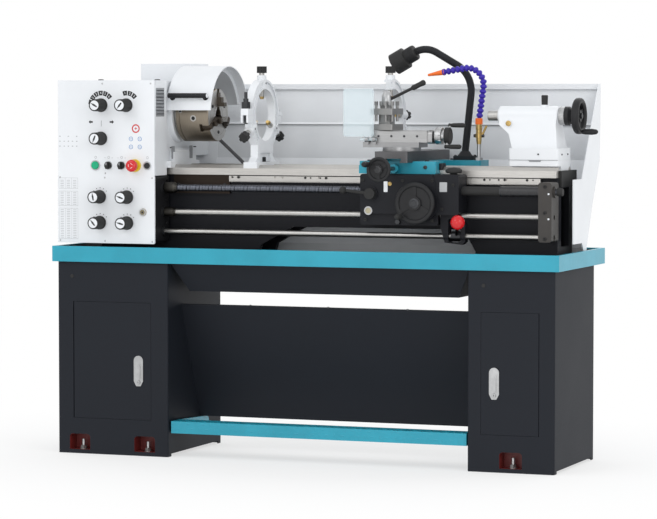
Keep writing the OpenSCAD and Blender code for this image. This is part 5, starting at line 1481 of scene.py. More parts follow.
    def lower_print(self) -> None:
        """The grey feed tables and the small scales of the lower plate."""
        y = self.face_y
        form = Form("lower_plate_print", LABEL_GREY)
        for z0, z1, x1 in ((804.0, 836.0, -720.0), (752.0, 796.0, -720.0), (652.0, 744.0, -720.0)):
            for z in (z0, z1):
                self.patch(form, -783.0, z - 0.4, x1, z + 0.4)
            for x in (-783.0, -762.0, -741.0, x1):
                self.patch(form, x - 0.3, z0, x + 0.3, z1)
        form.use(PRINT_BLACK)
        for node in ("feed_knob_1", "feed_knob_2", "feed_knob_3", "feed_knob_4"):
            x, z = self.centre(node)
            for k in range(5):
                a = radians(40 + k * 25)
                form.washer((x + 27 * cos(a), y, z + 27 * sin(a)), OUT, 1.5, 0.4, 0.2, 14)
        form.done("gearbox", "white")
        mark = Form("mark", LABEL_GREY)
        mark.box((-5.5, -0.7, 0.0), (5.5, 0.7, 0.2))
        rows = Scatter(mark, LABEL_GREY)
        for z0, z1 in ((804.0, 836.0), (752.0, 796.0), (652.0, 744.0)):
            z = z0 + 4
            while z < z1 - 2:
                for x in (-772.5, -751.5, -730.5):
                    rows.at((x, y, z), FRONT)
                z += 5.2
        rows.done("feed_table_marks", "gearbox", "white")


@dataclass
class ChuckSet(Assembly):
    """The spindle, the three-jaw chuck, its guard and their small parts."""

    axis_z: float = 1026.0
    face_x: float = -345.0

    def build(self) -> None:
        """Dresses the chuck and its guard."""
        self.dress("spindle", TURNED, "steel", bevel=0.3)
        face = Region((self.face_x - 0.6, -82, 944), (self.face_x + 0.6, 82, 1108))
        self.dress("chuck_body", CHUCK_IRON, "steel", (CHUCK_FACE, face), bevel=0.4)
        for node in ("jaw_1", "jaw_2", "jaw_3"):
            self.dress(node, JAW_STEEL, "dark_steel", bevel=0.4)
        self.dress("chuck_guard", WHITE, "white", bevel=0.5)
        self.guard_rim()
        self.guard_handle()
        self.chuck_rings()
        self.jaw_serrations()

    def guard_rim(self) -> None:
        """The flange turned in along the guard's open end."""
        low, _ = corners("chuck_guard")
        end = low.x + 146.0
        outline = circle_points(45.0, 1025.0, 149.2, 13.0, 173.0, 48)
        outline += circle_points(45.0, 1025.0, 133.5, 173.0, 13.0, 48)
        form = Form("guard_rim", WHITE)
        form.prism(outline, Axis.X, end - 3.2, end - 0.4)
        form.done("chuck_guard", "white")

    def guard_handle(self) -> None:
        """The guard's handle grips and its pivot bolt."""
        form = Form("guard_handle_sleeve", RUBBER)
        out = spoke(159.0)
        centre = Vector((0.0, 45.0, 1025.0)) + out * 167.0
        form.rod(centre + Vector((-463.6, 0, 0)), centre + Vector((-334.4, 0, 0)), 7.5, 32, 1.5)
        for x in (-454.0, -346.0):
            foot = Vector((x, 45.0, 1025.0)) + out * 149.8
            form.rod(foot, foot + out * 16, 5.5, 24)
            form.lathe([(0, 9.0), (2.0, 8.6), (3.0, 6.5), (3.0, 0)], foot, out, 28)
        form.done("chuck_guard", "black_plastic")
        pivot = Scatter(cap_screw(7.0, 5.0), DARK_STEEL)
        pivot.at((-432.0, 170.0, 1085.0), RIGHT)
        pivot.done("guard_pivot_screw", "chuck_guard", "dark_steel")

    def chuck_rings(self) -> None:
        """Turned rings and face screws of the chuck, and two ringed seats whose holes are filled with black discs of
        painted shade.
        """
        form = Form("chuck_face_rings", JAW_STEEL)
        for radius in (30.0, 34.0, 62.0):
            form.washer((self.face_x - 0.1, 0, self.axis_z), TAIL, radius + 0.4, radius, 0.25, 72)
        screws = Scatter(cap_screw(5.2, 2.4), DARK_STEEL)
        for a in (30.0, 150.0, 270.0):
            y, z = 52 * cos(radians(a)), 52 * sin(radians(a))
            screws.at((self.face_x - 0.1, y, self.axis_z + z), RIGHT)
        for x, a, outer in ((self.face_x - 49.0, 187.0, 9.5), (self.face_x - 92.0, 172.0, 5.5)):
            out = spoke(a)
            seat = Vector((x, 0.0, self.axis_z)) + out * 79.3
            form.use(CHUCK_FACE).washer(seat, out, outer, outer * 0.62, 0.9, 40)
            # Painted shade: a black disc fills each seat's hole.
            form.use(BLACK_PLASTIC).lathe([(0, outer * 0.64), (0.8, outer * 0.6), (0.8, 0)], seat, out, 32)
        form.done("chuck_body", "steel")
        screws.done("chuck_face_screws", "chuck_body", "dark_steel")

    def jaw_serrations(self) -> None:
        """Gripping grooves on the steps of the jaws."""
        for index, angle in enumerate((90.0, 210.0, 330.0), start=1):
            out = spoke(angle)
            side = Vector((1.0, 0.0, 0.0)).cross(out)
            form = Form(f"jaw_{index}_teeth", TURNED)
            base = Vector((self.face_x, 0.0, self.axis_z))
            for k in range(8):
                middle = base + out * 25.8 + Vector((2.0 + k * 2.6, 0, 0))
                points = []
                for s in (-8.6, 8.6):
                    for dx, up in ((-0.9, 0.3), (0.0, -0.5), (0.9, 0.3)):
                        points.append(middle + side * s + Vector((dx, 0, 0)) + out * up)
                form.shell(points, [(0, 1, 2), (3, 5, 4), (0, 3, 4, 1), (1, 4, 5, 2), (0, 2, 5, 3)])
            form.done(f"jaw_{index}", "steel")


@dataclass
class Rods(Assembly):
    """The leadscrew with its real thread, the feed rod and the control rod."""

    y: float = -135.0
    lead_z: float = 808.0
    pitch: float = 6.0

    def build(self) -> None:
        """Builds the threaded leadscrew and dresses the plain rods."""
        self.leadscrew()
        for node in ("feed_rod", "control_rod"):
            low, high = corners(node)
            z = (low.z + high.z) / 2
            seat = Around((low.x - 1.0, self.y, z), (low.x + 62.0, self.y, z), radius=30.0)
            self.dress(node, TURNED, "steel", (IRON_GREY, seat), bevel=0.3)
        # A thin black strip along the top of the feed rod is painted shade for its keyway groove.
        keyway_shade = Form("feed_rod_keyway", PRINT_BLACK)
        low, high = corners("feed_rod")
        z = (low.z + high.z) / 2
        outline = circle_points(self.y, z, 9.04, 75.0, 105.0, 6) + circle_points(self.y, z, 8.8, 105.0, 75.0, 6)
        keyway_shade.prism(outline, Axis.X, -360.0, 715.0)
        keyway_shade.done("feed_rod", "dark_steel")

    def leadscrew(self) -> None:
        """Journals and core, with the thread swept along a spiral."""
        low, high = corners("leadscrew")
        centre = (low.x, self.y, self.lead_z)
        start, end = low.x + 66.0, high.x - 60.0
        core = Form("leadscrew_core", LEAD_STEEL)
        core.lathe([(0, 8.4), (0.6, 9), (26, 9), (26, 16), (30, 16.9), (56, 16.9), (60, 13), (66, 13), (66, 9.2),
                    (end - low.x, 9.2), (end - low.x, 8.9), (high.x - low.x - 1, 8.9), (high.x - low.x - 1, 0)],
                   centre, TAIL, 40)
        seat = Around((low.x + 20.0, self.y, self.lead_z), (low.x + 65.0, self.y, self.lead_z), radius=18.0)
        core.paint(IRON_GREY, seat)
        core.use(BLACK_PLASTIC).lathe([(0, 11.5), (15, 11.5), (17, 9.8), (17, 0)], (high.x - 17.1, self.y, self.lead_z),
                                      TAIL, 28)
        core.done("leadscrew", "steel", hides=True)
        tree = NodeTree("thread_on_spiral", [("Length", "NodeSocketFloat", 1.0), ("Pitch", "NodeSocketFloat", 0.006),
                                             ("Radius", "NodeSocketFloat", 0.01), ("Crest", "NodeSocketFloat", 0.001),
                                             ("Material", "NodeSocketMaterial", None)])
        turns = tree.add("ShaderNodeMath", {"operation": "DIVIDE"},
                         {0: tree["Length"], 1: tree["Pitch"]})
        spiral = tree.add("GeometryNodeCurveSpiral", {}, {
            "Resolution": 18, "Rotations": turns.outputs[0], "Start Radius": tree["Radius"],
            "End Radius": tree["Radius"], "Height": tree["Length"]})
        section = tree.add("GeometryNodeCurvePrimitiveCircle", {"mode": "RADIUS"},
                           {"Resolution": 4, "Radius": tree["Crest"]})
        thread = tree.add("GeometryNodeCurveToMesh", {}, {
            "Curve": spiral.outputs[0], "Profile Curve": section.outputs[0], "Fill Caps": True})
        turn = tree.add("GeometryNodeTransform", {}, {
            "Geometry": thread.outputs[0], "Rotation": (0, pi / 2, 0),
            "Translation": tuple(v / PER_METRE for v in (start, self.y, self.lead_z))})
        tree.end(turn.outputs[0])
        carrier = linked("thread_carrier", bpy.data.meshes.new("thread_carrier"))
        steel = Metal("thread_steel", (0.16, 0.17, 0.20), gloss=0.34, stained=0.2)
        values = {"Length": (end - start) / PER_METRE, "Pitch": self.pitch / PER_METRE, "Radius": 0.0093,
                  "Crest": 0.0016, "Material": steel.build()}
        tree.run("leadscrew_thread", carrier, values, "leadscrew")


@dataclass
class Carriage(Assembly):
    """The saddle and the apron with its wheel, levers and fittings."""

    apron_y: float = -175.0
    axle: tuple[float, float] = (361.0, 773.0)

    def build(self) -> None:
        """Dresses the carriage and adds the apron's fittings."""
        low, high = corners("apron")
        tube = Region((high.x - 131.0, -152.0, 790.0), (high.x + 1, -118.0, 826.0), whole=True)
        self.dress("apron", BED_BLACK, "bed_black", (BLACK_PLASTIC, tube), bevel=0.6)
        wipers = [(RUBBER, Region((x - 8, -105.0, 866.0), (x + 8, -50.0, 889.0), whole=True)) for x in (156.0, 401.0)]
        self.dress("saddle", TURQUOISE, "turquoise", *wipers, bevel=0.6)
        self.wheel()
        self.dress("feed_lever", BLACK_PLASTIC, "black_plastic", bevel=0.2)
        ball = Around((494.0, -215.0, 697.0), (494.0, -215.0, 743.0), radius=22.0)
        self.dress("control_lever", DARK_STEEL, "dark_steel", (RED, ball), bevel=0.2)
        self.fittings()
        self.saddle_screws()

    def wheel(self) -> None:
        """The carriage handwheel: dished rim, hub, dial and turning grip."""
        x, z = self.axle
        dial = Around((x, -199.6, z), (x, -183.4, z), radius=29.0)
        shaft = Around((x, -183.8, z), (x, -140.0, z), radius=10.0)
        knob = (x - 38.2, z - 38.2)
        grip = Around((knob[0], -266.0, knob[1]), (knob[0], -218.0, knob[1]), radius=10.0)
        self.dress("carriage_wheel", CAST_BLACK, "bed_black", (BLACK_PLASTIC, dial), (TURNED_FRONT, shaft),
                   (BLACK_PLASTIC, grip), bevel=0.4)
        marks = Form("carriage_dial_marks", CAST_BLACK)
        marks.washer((x, -207.5, z), OUT, 56.0, 17.0, 3.0, 64).use(LABEL_GREY)
        marks.divisions((x, -199.0, z), REAR, 28.0, 60, (4.5, 2.6), width=0.44)
        marks.use(DARK_STEEL).lathe([(0, 15), (1.0, 15), (2.2, 12.5), (2.2, 9.5), (1.0, 8.5), (1.0, 0)],
                                    (x, -217.0, z), OUT, 36)
        marks.done("carriage_wheel", "bed_black")

    def fittings(self) -> None:
        """Sight glass, drain plug, scale plate, oilers and screws of the apron."""
        y = self.apron_y
        form = Form("apron_fittings", LABEL_GREY)
        form.use(WHITE).prism(rounded((253.0, 804.0), (265.0, 835.0), 1.5), Axis.Y, y - 0.6, y + 0.5)
        form.use(LABEL_GREY)
        form.prism(rounded((424.0, 806.0), (447.0, 834.0), 1.5), Axis.Y, y + 2.4, y + 3.4)
        form.use(SATIN_CHROME).washer((205.0, y, 749.0), OUT, 12.5, 8.5, 1.6, 48)
        form.use(Plastic("sight_oil", (0.42, 0.38, 0.26), gloss=0.08)).lathe(
            [(0, 8.6), (0.6, 8.4), (1.0, 5.0), (1.1, 0)], (205.0, y + 0.2, 749.0), OUT, 40)
        form.use(BRASS).lathe([(0, 6), (1.4, 6), (2.0, 5), (2.0, 2.6), (1.4, 0)], (272.0, y, 828.0), OUT, 28)
        form.lathe([(0, 4.5), (1.2, 4.5), (1.6, 3.4), (1.6, 0)], (230.0, y, 843.0), OUT, 24)
        form.use(DARK_STEEL)
        form.lathe([(0, 8.5), (5.0, 8.5), (5.8, 7.6), (5.8, 0)], (293.0, y + 10, 717.0), OUT, 6)
        form.use(BLACK_PLASTIC).lathe([(0, 11), (14, 11), (16, 23), (20, 25), (25, 24), (30, 17), (32, 0)],
                                      (459.0, -146.0, 845.0), UP, 40)
        form.done("apron", "steel")
        screws = Scatter(cap_screw(4.6, 3.6), BLACK_PLASTIC)
        for x, z in ((196.0, 722.0), (403.0, 722.0), (403.0, 838.0), (188.0, 838.0), (312.0, 838.0)):
            screws.at((x, y, z), FRONT)
        for x, z in ((432.0, 756.0), (466.0, 826.0)):
            screws.at((x, y + 3.0, z), FRONT)
        screws.done("apron_screws", "apron", "dark_steel")

    def saddle_screws(self) -> None:
        """Clamp screws, wiper screws and oilers on the saddle."""
        screws = Scatter(cap_screw(5.5, 4.0), DARK_STEEL)
        for x in (185.0, 365.0):
            screws.at((x, -112.0, 893.0))
            screws.at((x, 118.0, 893.0))
        for x in (190.0, 366.0):
            screws.at((x, -130.0, 876.0), FRONT)
        screws.done("saddle_screws", "saddle", "dark_steel")
        oilers = Form("saddle_oilers", BRASS)
        for x in (170.0, 350.0):
            oilers.lathe([(0, 4.6), (0.9, 4.6), (1.4, 3.4), (1.4, 0)], (x, -75.0, 893.0), UP, 24)
        oilers.done("saddle", "steel")


@dataclass
class Slides(Assembly):
    """The cross slide, the compound slide, the tool post and the chip shield."""

    car_x: float = 275.0
    top_y: float = -77.0

    def build(self) -> None:
        """Dresses the slides, their wheels and the tool post."""
        self.dress("cross_slide", CROSS_IRON, "dark_steel", bevel=0.4)
        self.cross_wheel()
        self.dress("swivel_base", SWIVEL_IRON, "steel", bevel=0.4)
        self.dress("compound_slide", COMPOUND_IRON, "steel", bevel=0.5)
        self.compound_wheel()
        self.dress("tool_post", TURNED_UP, "steel", bevel=0.5)
        self.tool_post_lever()
        self.shield()
        self.marks()
        self.screws()

    def cross_wheel(self) -> None:
        """The cross slide's handwheel and dial."""
        x, z = self.car_x, 872.0
        dial = Around((x, -270.6, z), (x, -245.4, z), radius=15.0)
        shaft = Around((x, -246.0, z), (x, -90.0, z), radius=7.0)
        self.dress("cross_wheel", CAST_BLACK, "bed_black", (SATIN_CHROME, dial), (TURNED_FRONT, shaft), bevel=0.35)
        form = Form("cross_wheel_cap", CAST_BLACK)
        form.washer((x, -278.8, z), OUT, 33.5, 11.0, 2.4, 56).use(DARK_STEEL)
        form.lathe([(0, 10), (1.2, 10), (2.2, 8), (2.2, 5), (1.0, 4), (1.0, 0)], (x, -288.0, z), OUT, 32)
        form.use(PRINT_BLACK).divisions((x, -269.0, z), REAR, 14.0, 40, (5.0, 3.0), width=0.32)
        form.done("cross_wheel", "bed_black")

    def compound_wheel(self) -> None:
        """The compound's dial, hub and crank handles."""
        x, y, z = 379.3, self.top_y, 967.0
        hub = Around((x + 32.2, y, z), (x + 47.0, y, z), radius=16.0)
        paints: list[tuple[Finish, Region]] = [(CAST_BLACK, hub)]
        for angle in (60.0, 240.0):
            gy, gz = y + 36 * cos(radians(angle)), z + 36 * sin(radians(angle))
            paints.append((BLACK_PLASTIC, Around((x + 33.0, gy, gz), (x + 86.0, gy, gz), radius=8.0)))
        self.dress("compound_wheel", SATIN_CHROME, "steel", *paints, bevel=0.3)
        marks = Form("compound_dial_marks", PRINT_BLACK)
        marks.divisions((x + 4.6, y, z), TAIL, 25.0, 50, (5.5, 3.2))
        marks.use(BLACK_PLASTIC).lathe([(0, 22), (1, 25), (12.6, 25), (14.6, 23), (14.6, 8), (12, 6), (12, 0)],
                                       (x + 31.2, y, z), TAIL, 48)
        marks.done("compound_wheel", "bed_black")

    def tool_post_lever(self) -> None:
        """The tool post's nut and its lever with the black grip."""
        top = corners("tool_post_lever")[0].z + 5.8
        root = Vector((self.car_x - 44.0, self.top_y, top + 24.0))
        end = Vector((self.car_x + 62.0, self.top_y + 13.0, top + 76.0))
        along = (end - root).normalized()
        grip = Around(tuple(end - along * 38.6), tuple(end + along * 6.6), radius=9.5)
        arm = Around(tuple(root), tuple(end), radius=6.2)
        self.dress("tool_post_lever", SATIN_CHROME, "steel", (BLACK_PLASTIC, arm), (BLACK_PLASTIC, grip), bevel=0.3)

    def shield(self) -> None:
        """The clear shield with its frame clips."""
        low, high = corners("chip_shield")
        sheet = Region((low.x - 1, self.top_y - 60, 1000.0), (high.x + 1, self.top_y - 45, 1070.0), whole=True)
        self.dress("chip_shield", DARK_STEEL, "clear_sheet", (CLEAR, sheet))
        clips = Scatter(pan_screw(3.0, 1.6), SATIN_CHROME)
        for x in (174.0, 195.0):
            clips.at((x, self.top_y - 55.6, 962.5), FRONT)
        clips.done("shield_screws", "chip_shield", "steel")

    def marks(self) -> None:
        """The angle scale of the swivel and the zero marks."""
        form = Form("angle_scale", PRINT_BLACK)
        form.divisions((self.car_x, self.top_y, 923.0), UP, 57.0, 61, (5.0, 3.0), width=0.4, first=180.0, step=3.0)
        form.done("swivel_base", "steel")

    def screws(self) -> None:
        """Gib screws and top screws of the compound."""
        top = Scatter(cap_screw(3.4, 1.8), DARK_STEEL)
        for x in (215.0, 255.0, 295.0, 335.0):
            top.at((x, self.top_y - 38.0, 966.0), FRONT)
        top.at((372.0, self.top_y - 22.0, 981.0))
        top.at((372.0, self.top_y + 22.0, 981.0))
        top.done("compound_gib_screws", "compound_slide", "dark_steel")


@dataclass
class Rests(Assembly):
    """The steady rest on the bed and the follow rest on the saddle."""

    axis_z: float = 1026.0
    steady_x: float = -202.0

    def build(self) -> None:
        """Dresses both rests and their fingers."""
        nut = Region((self.steady_x - 14, -14, 884), (self.steady_x + 14, 14, 900))
        self.dress("steady_rest_base", WHITE, "white", (DARK_STEEL, nut), bevel=0.5)
        hardware = Region((self.steady_x - 15, -142, self.axis_z + 20.1), (self.steady_x + 15, -111, self.axis_z + 92))
        stud = Region((self.steady_x - 6, -132, self.axis_z - 30), (self.steady_x + 6, -120, self.axis_z - 0.2))
        self.dress("steady_rest_top", WHITE, "white", (DARK_STEEL, hardware), (DARK_STEEL, stud), bevel=0.5)
        for index, angle in enumerate((90.0, 205.0, 335.0), start=1):
            self.finger(f"steady_finger_{index}", self.steady_x, angle)
        self.follow()
        self.screws()

    def finger(self, node: str, x: float, angle: float) -> None:
        """A finger: steel bar, brass tip and black star knob."""
        out = spoke(angle)
        form = Form(node + "_skin").copy(node, TURNED)
        origin = Vector((x, 0, self.axis_z))
        reach = max((v.co - origin).dot(out) for v in form.bm.verts)
        for face in form.bm.faces:
            along = (face.calc_center_median() - origin).dot(out)
            if along > reach - 20.4:
                face.material_index = form.use(BLACK_PLASTIC).current
            elif along < 56.2:
                face.material_index = form.use(BRASS).current
        form.done(node, "steel", hides=True, bevel=0.3)

    def follow(self) -> None:
        """The follow rest with its two fixed fingers."""
        x = self.steady_x + 413.0
        paints: list[tuple[Finish, Region]] = []
        for angle in (90.0, 0.0):
            out = spoke(angle)
            for finish, start, end, radius in ((BRASS, 48.0, 58.2, 9.0), (TURNED, 58.2, 125.8, 8.2),
                                               (BLACK_PLASTIC, 125.9, 147.0, 16.0)):
                a, b = (Vector((x, 0.0, self.axis_z)) + out * reach for reach in (start, end))
                paints.append((finish, Around(tuple(a), tuple(b), radius=radius)))
        self.dress("follow_rest", WHITE, "white", *paints, bevel=0.4)
        heads = Scatter(cap_screw(5.0, 4.5), DARK_STEEL)
        for y in (90.0, 126.0):
            heads.at((x - 14.0, y, 907.0))
        heads.done("follow_rest_screws", "follow_rest", "dark_steel")

    def screws(self) -> None:
        """Set screws beside each steady finger."""
        base = Scatter(cap_screw(3.4, 2.6), DARK_STEEL)
        top = Scatter(cap_screw(3.4, 2.6), DARK_STEEL)
        radius = 96.0
        for angle, target in ((90.0, top), (205.0, base), (335.0, base)):
            a = radians(angle)
            y, z = radius * cos(a), self.axis_z + radius * sin(a)
            target.at((self.steady_x + 12.0, y, z), RIGHT).at((self.steady_x - 12.0, y, z), LEFT)
        base.done("steady_base_screws", "steady_rest_base", "dark_steel")
        top.done("steady_top_screws", "steady_rest_top", "dark_steel")


@dataclass
class LampAndCoolant(Assembly):
    """The gooseneck work lamp and the segmented coolant hose with its valve."""

    lamp: tuple[float, float] = (409.0, 110.0)
    tap: tuple[float, float] = (465.0, 70.0)
    axis_z: float = 1026.0

    def build(self) -> None:
        """Dresses both lines and adds their ribs and lens."""
        start, along = self.shade_axis()
        skin = Form("work_lamp_skin").copy("work_lamp", RUBBER)
        old = Around(tuple(start - along * 15), tuple(start + along * 82), radius=39.0)
        spare = [face for face in skin.bm.faces if old.holds(face.calc_center_median())]
        bmesh.ops.delete(skin.bm, geom=spare, context="FACES")
        skin.done("work_lamp", "black_plastic", hides=True, bevel=0.2)
        self.gooseneck()
        self.shade()
        self.coolant()

    def shade_axis(self) -> tuple[Vector, Vector]:
        """Where the shade starts on the flexible arm, and which way it points."""
        turn = radians(-119)
        return (Vector((self.lamp[0] - 160, self.lamp[1], self.axis_z + 188)),
                Vector((sin(turn), 0.0, cos(turn))))

    def gooseneck(self) -> None:
        """Close ribs along the flexible arm, and the base's screws."""
        x, y = self.lamp
        z = self.axis_z
        path = bent_route((x, y, z - 109.0), 6.0, [(173.0,), (90.0, 66.0), (75.0,), (70.0, 59.0)])
        rib = Form("rib", RUBBER)
        rib.lathe([(-1.3, 10.5), (-0.5, 11.1), (0.5, 11.1), (1.3, 10.5)], (0, 0, 0), UP, 20)
        AlongPath(rib, RUBBER, 3.6).done("lamp_ribs", path, "work_lamp", "black_plastic")
        screws = Scatter(cap_screw(4.0, 3.2), DARK_STEEL)
        for dx in (-25.0, 25.0):
            for dy in (-17.0, 17.0):
                screws.at((x + dx, y + dy, 905.0))
        screws.done("lamp_base_screws", "work_lamp", "dark_steel")

    def shade(self) -> None:
        """The stepped shade with its cooling rings, reflector and lens."""
        start, along = self.shade_axis()
        form = Form("lamp_shade", BLACK_PLASTIC)
        form.lathe([(-14, 0), (-14, 9), (-4, 9.5), (-4, 21.5), (-2.5, 23), (29, 23), (30, 30), (31.5, 32.5), (74, 32.5),
                    (74, 30.5), (33, 28.0), (33, 0)], start, along, 64)
        form.use(SATIN_CHROME).lathe([(66.0, 30.0), (62.0, 29.5), (40.0, 12.0), (40.0, 0)], start, along, 48)
        form.use(Plastic("lamp_lens", (0.82, 0.82, 0.78), gloss=0.15)).lathe(
            [(40.2, 0), (40.4, 11.0), (60.0, 12.0), (66.0, 7.0), (67.5, 0)], start, along, 40)
        form.use(RUBBER)
        for distance in (2.0, 7.0, 12.0, 17.0, 22.0):
            form.washer(start + along * distance, along, 24.0, 21.0, 2.2, 56)
        form.done("work_lamp", "black_plastic")

    def coolant(self) -> None:
        """Riser, brass valve, ball hose and nozzle in their own finishes."""
        x, y = self.tap
        z = self.axis_z
        collar = Region((x - 14, y - 14, z - 43.4), (x + 14, y + 14, z - 8.2))
        valve = Region((x - 12, y - 22, z - 68.6), (x + 34, y + 12, z - 43.0))
        route = bent_route((x, y, z - 14.0), 8.0, [(99.0,), (50.0, 108.0), (66.0,)])
        along = (route[-1] - route[-2]).normalized()
        nozzle = Around(tuple(route[-1] - along * 2), tuple(route[-1] + along * 53), radius=11.0)
        form = Form("coolant_line_skin").copy("coolant_line", SATIN_CHROME)
        form.paint(ORANGE, nozzle)
        spare = []
        for face in form.bm.faces:
            centre = face.calc_center_median()
            if collar.holds(centre) or valve.holds(centre) or (centre.z > z - 8.2 and not nozzle.holds(centre)):
                spare.append(face)
        bmesh.ops.delete(form.bm, geom=spare, context="FACES")
        form.use(BLUE_HOSE).tube(route[:-1] + [route[-1] + along * 2], 5.8, 24)
        form.done("coolant_line", "black_plastic", hides=True, bevel=0.2)
        bead = Form("bead", BLUE_HOSE)
        bead.lathe([(-6.6, 5.2), (-5, 7.6), (-2.6, 9.5), (0.6, 10.2), (3.2, 9.4), (5, 7.6), (6.4, 5.4)], (0, 0, 0),
                   UP, 24)
        AlongPath(bead, BLUE_HOSE, 14.4).done("hose_beads", route, "coolant_line", "black_plastic")
        tap = Form("coolant_tap", BRASS)
        tap.lathe([(0, 4), (0, 6.5), (12, 8), (18, 8), (19, 10.5), (31, 10.5), (32, 8.6), (42, 8.6), (43, 9.8),
                   (50, 9.8), (51, 8.8), (59, 8.8), (59, 0)], (x, y, z - 85.0), UP, 32)
        tap.rod((x + 9.0, y, z - 60.0), (x + 24.0, y, z - 30.0), 3.4)
        tap.use(DARK_STEEL).rod((x - 16.0, y, z - 60.0), (x + 16.0, y, z - 60.0), 5.0)
        tap.use(ORANGE).lathe([(0, 9), (0.6, 11), (17, 11), (18.6, 9.5), (18.6, 0)], (x, y, z - 26.5), UP, 32)
        tap.done("coolant_line", "steel")


@dataclass
class Tailstock(Assembly):
    """The tailstock with its quill, handwheel and clamp lever."""

    x: float = 675.0
    axis_z: float = 1026.0

    def build(self) -> None:
        """Dresses the tailstock and adds its marks and screws."""
        base = Region((598.0, -67.0, 866.5), (752.0, 67.0, 898.0), whole=True)
        pin = Region((580.0, -43.0, 994.0), (602.0, -33.0, 1014.0), whole=True)
        self.dress("tailstock", WHITE, "white", (WHITE, base), (BRASS, pin), bevel=0.6)
        self.dress("quill", TURNED, "steel", bevel=0.4)
        dial = Around((735.1, 0.0, self.axis_z), (767.0, 0.0, self.axis_z), radius=28.0)
        shaft = Around((712.0, 0.0, self.axis_z), (735.2, 0.0, self.axis_z), radius=10.0)
        self.dress("tail_wheel", CAST_BLACK, "black_plastic", (SATIN_CHROME, dial), (TURNED, shaft), bevel=0.35)
        lock = Form("quill_lock_skin", BLACK_PLASTIC)
        lock.lathe([(0, 7), (6, 7), (7, 9), (34, 9.8), (37, 8.5), (37, 0)], (689.0, 0.0, 1049.5), UP, 36)
        lock.done("quill_lock", "black_plastic", hides=True)
        self.scales()
        self.screws()

    def scales(self) -> None:
        """Graduations of the dial and the quill."""
        start_x = 735.3
        form = Form("tail_dial_marks", PRINT_BLACK)
        form.divisions((start_x + 4.0, 0.0, self.axis_z), TAIL, 27.0, 50, (5.5, 3.2))
        form.use(CAST_BLACK).lathe([(18, 27.4), (30, 27.4), (38, 22), (52, 17), (56, 17), (56, 0)],
                                   (start_x, 0, self.axis_z), TAIL, 56)
        for dx in (55.0, 61.0):
            form.hoop((start_x + dx, 0, self.axis_z), TAIL, 44.6, 8.3)
        form.use(DARK_STEEL).lathe([(0, 9), (4, 9), (4.8, 8), (4.8, 0)], (start_x + 63.6, 0, self.axis_z), TAIL, 6)
        form.done("tail_wheel", "black_plastic")
        quill = Form("quill_marks", PRINT_BLACK)
        for k in range(14):
            x = 522.0 + k * 5
            reach = 14.0 if k % 5 == 0 else 8.0
            points = []
            for lift in (14.9, 15.015):
                for dx in (-0.15, 0.15):
                    for step in range(5):
                        a = radians(95 + (step - 2) * reach * 0.6)
                        points.append((x + dx, -lift * sin(a), self.axis_z + lift * -cos(a)))
            loops = [tuple(range(0, 5)) + tuple(range(9, 4, -1)), tuple(range(10, 15)) + tuple(range(19, 14, -1))]
            for i in range(4):
                loops += [(i, i + 1, 11 + i, 10 + i), (5 + i, 6 + i, 16 + i, 15 + i)]
            loops += [(0, 5, 15, 10), (4, 9, 19, 14)]
            quill.shell(points, loops)
        quill.done("quill", "steel")

    def screws(self) -> None:
        """Adjusting screws and witness mark of the tailstock base, and the brass pin on the barrel."""
        form = Form("tailstock_witness_plate", LOUVRE_GREY)
        form.box((600.0, -67.4, 897.4), (750.0, -66.4, 898.6))
        form.prism([(self.x - 15, 897.0), (self.x + 25, 897.0), (self.x + 21, 893.0), (self.x - 11, 893.0)],
                   Axis.Y, -67.5, -66.4)
        form.use(BRASS).lathe([(-1, 8.2), (1.0, 8.2), (1.6, 7.2), (1.6, 3.6), (0.6, 3.2), (0.6, 0)],
                              (591.0, -41.0, 1004.0), OUT, 40)
        form.done("tailstock", "steel")
        heads = Scatter(cap_screw(2.4, 2.4), BLACK_PLASTIC)
        heads.at((self.x + 15, -66.0, 915.0), FRONT)
        heads.at((self.x + 15, 66.0, 915.0), BACK)
        heads.at((self.x + 75, -30.0, 914.0), RIGHT).at((self.x + 75, 30.0, 914.0), RIGHT)
        heads.done("tailstock_screws", "tailstock", "dark_steel")


@dataclass
class SplashGuard(Assembly):
    """The folded splash guard behind the bed, with its screws."""

    def build(self) -> None:
        """Dresses the sheet and adds its rear screws."""
        low, high = corners("splash_guard")
        self.dress("splash_guard", WHITE, "white", bevel=0.4, angle=8.0)
        form = Form("splash_guard_folds", WHITE)
        form.prism([(243.6, 996.6), (245.0, 996.6), (247.6, 1002.6), (246.4, 1002.6)], Axis.X, low.x + 4, high.x - 4)
        form.prism([(167.5, 764.5), (166.0, 764.5), (241.5, 892.0), (245.4, 999.0), (247.0, 999.0), (243.1, 891.4)],
                   Axis.X, -560.0, low.x + 1)
        # Painted shadow: a grey strip under the lip of the top fold.
        form.use(LOUVRE_GREY).box((low.x + 4, 242.8, 994.0), (high.x - 4, 246.0, 996.4))
        form.done("splash_guard", "white")
        screws = Scatter(hex_head(8.0, 4.0), SATIN_CHROME)
        for k in range(5):
            screws.at((low.x + 60 + k * (high.x - low.x - 120) / 4, 108.0, 606.0), BACK)
        screws.done("splash_guard_screws", "splash_guard", "steel")


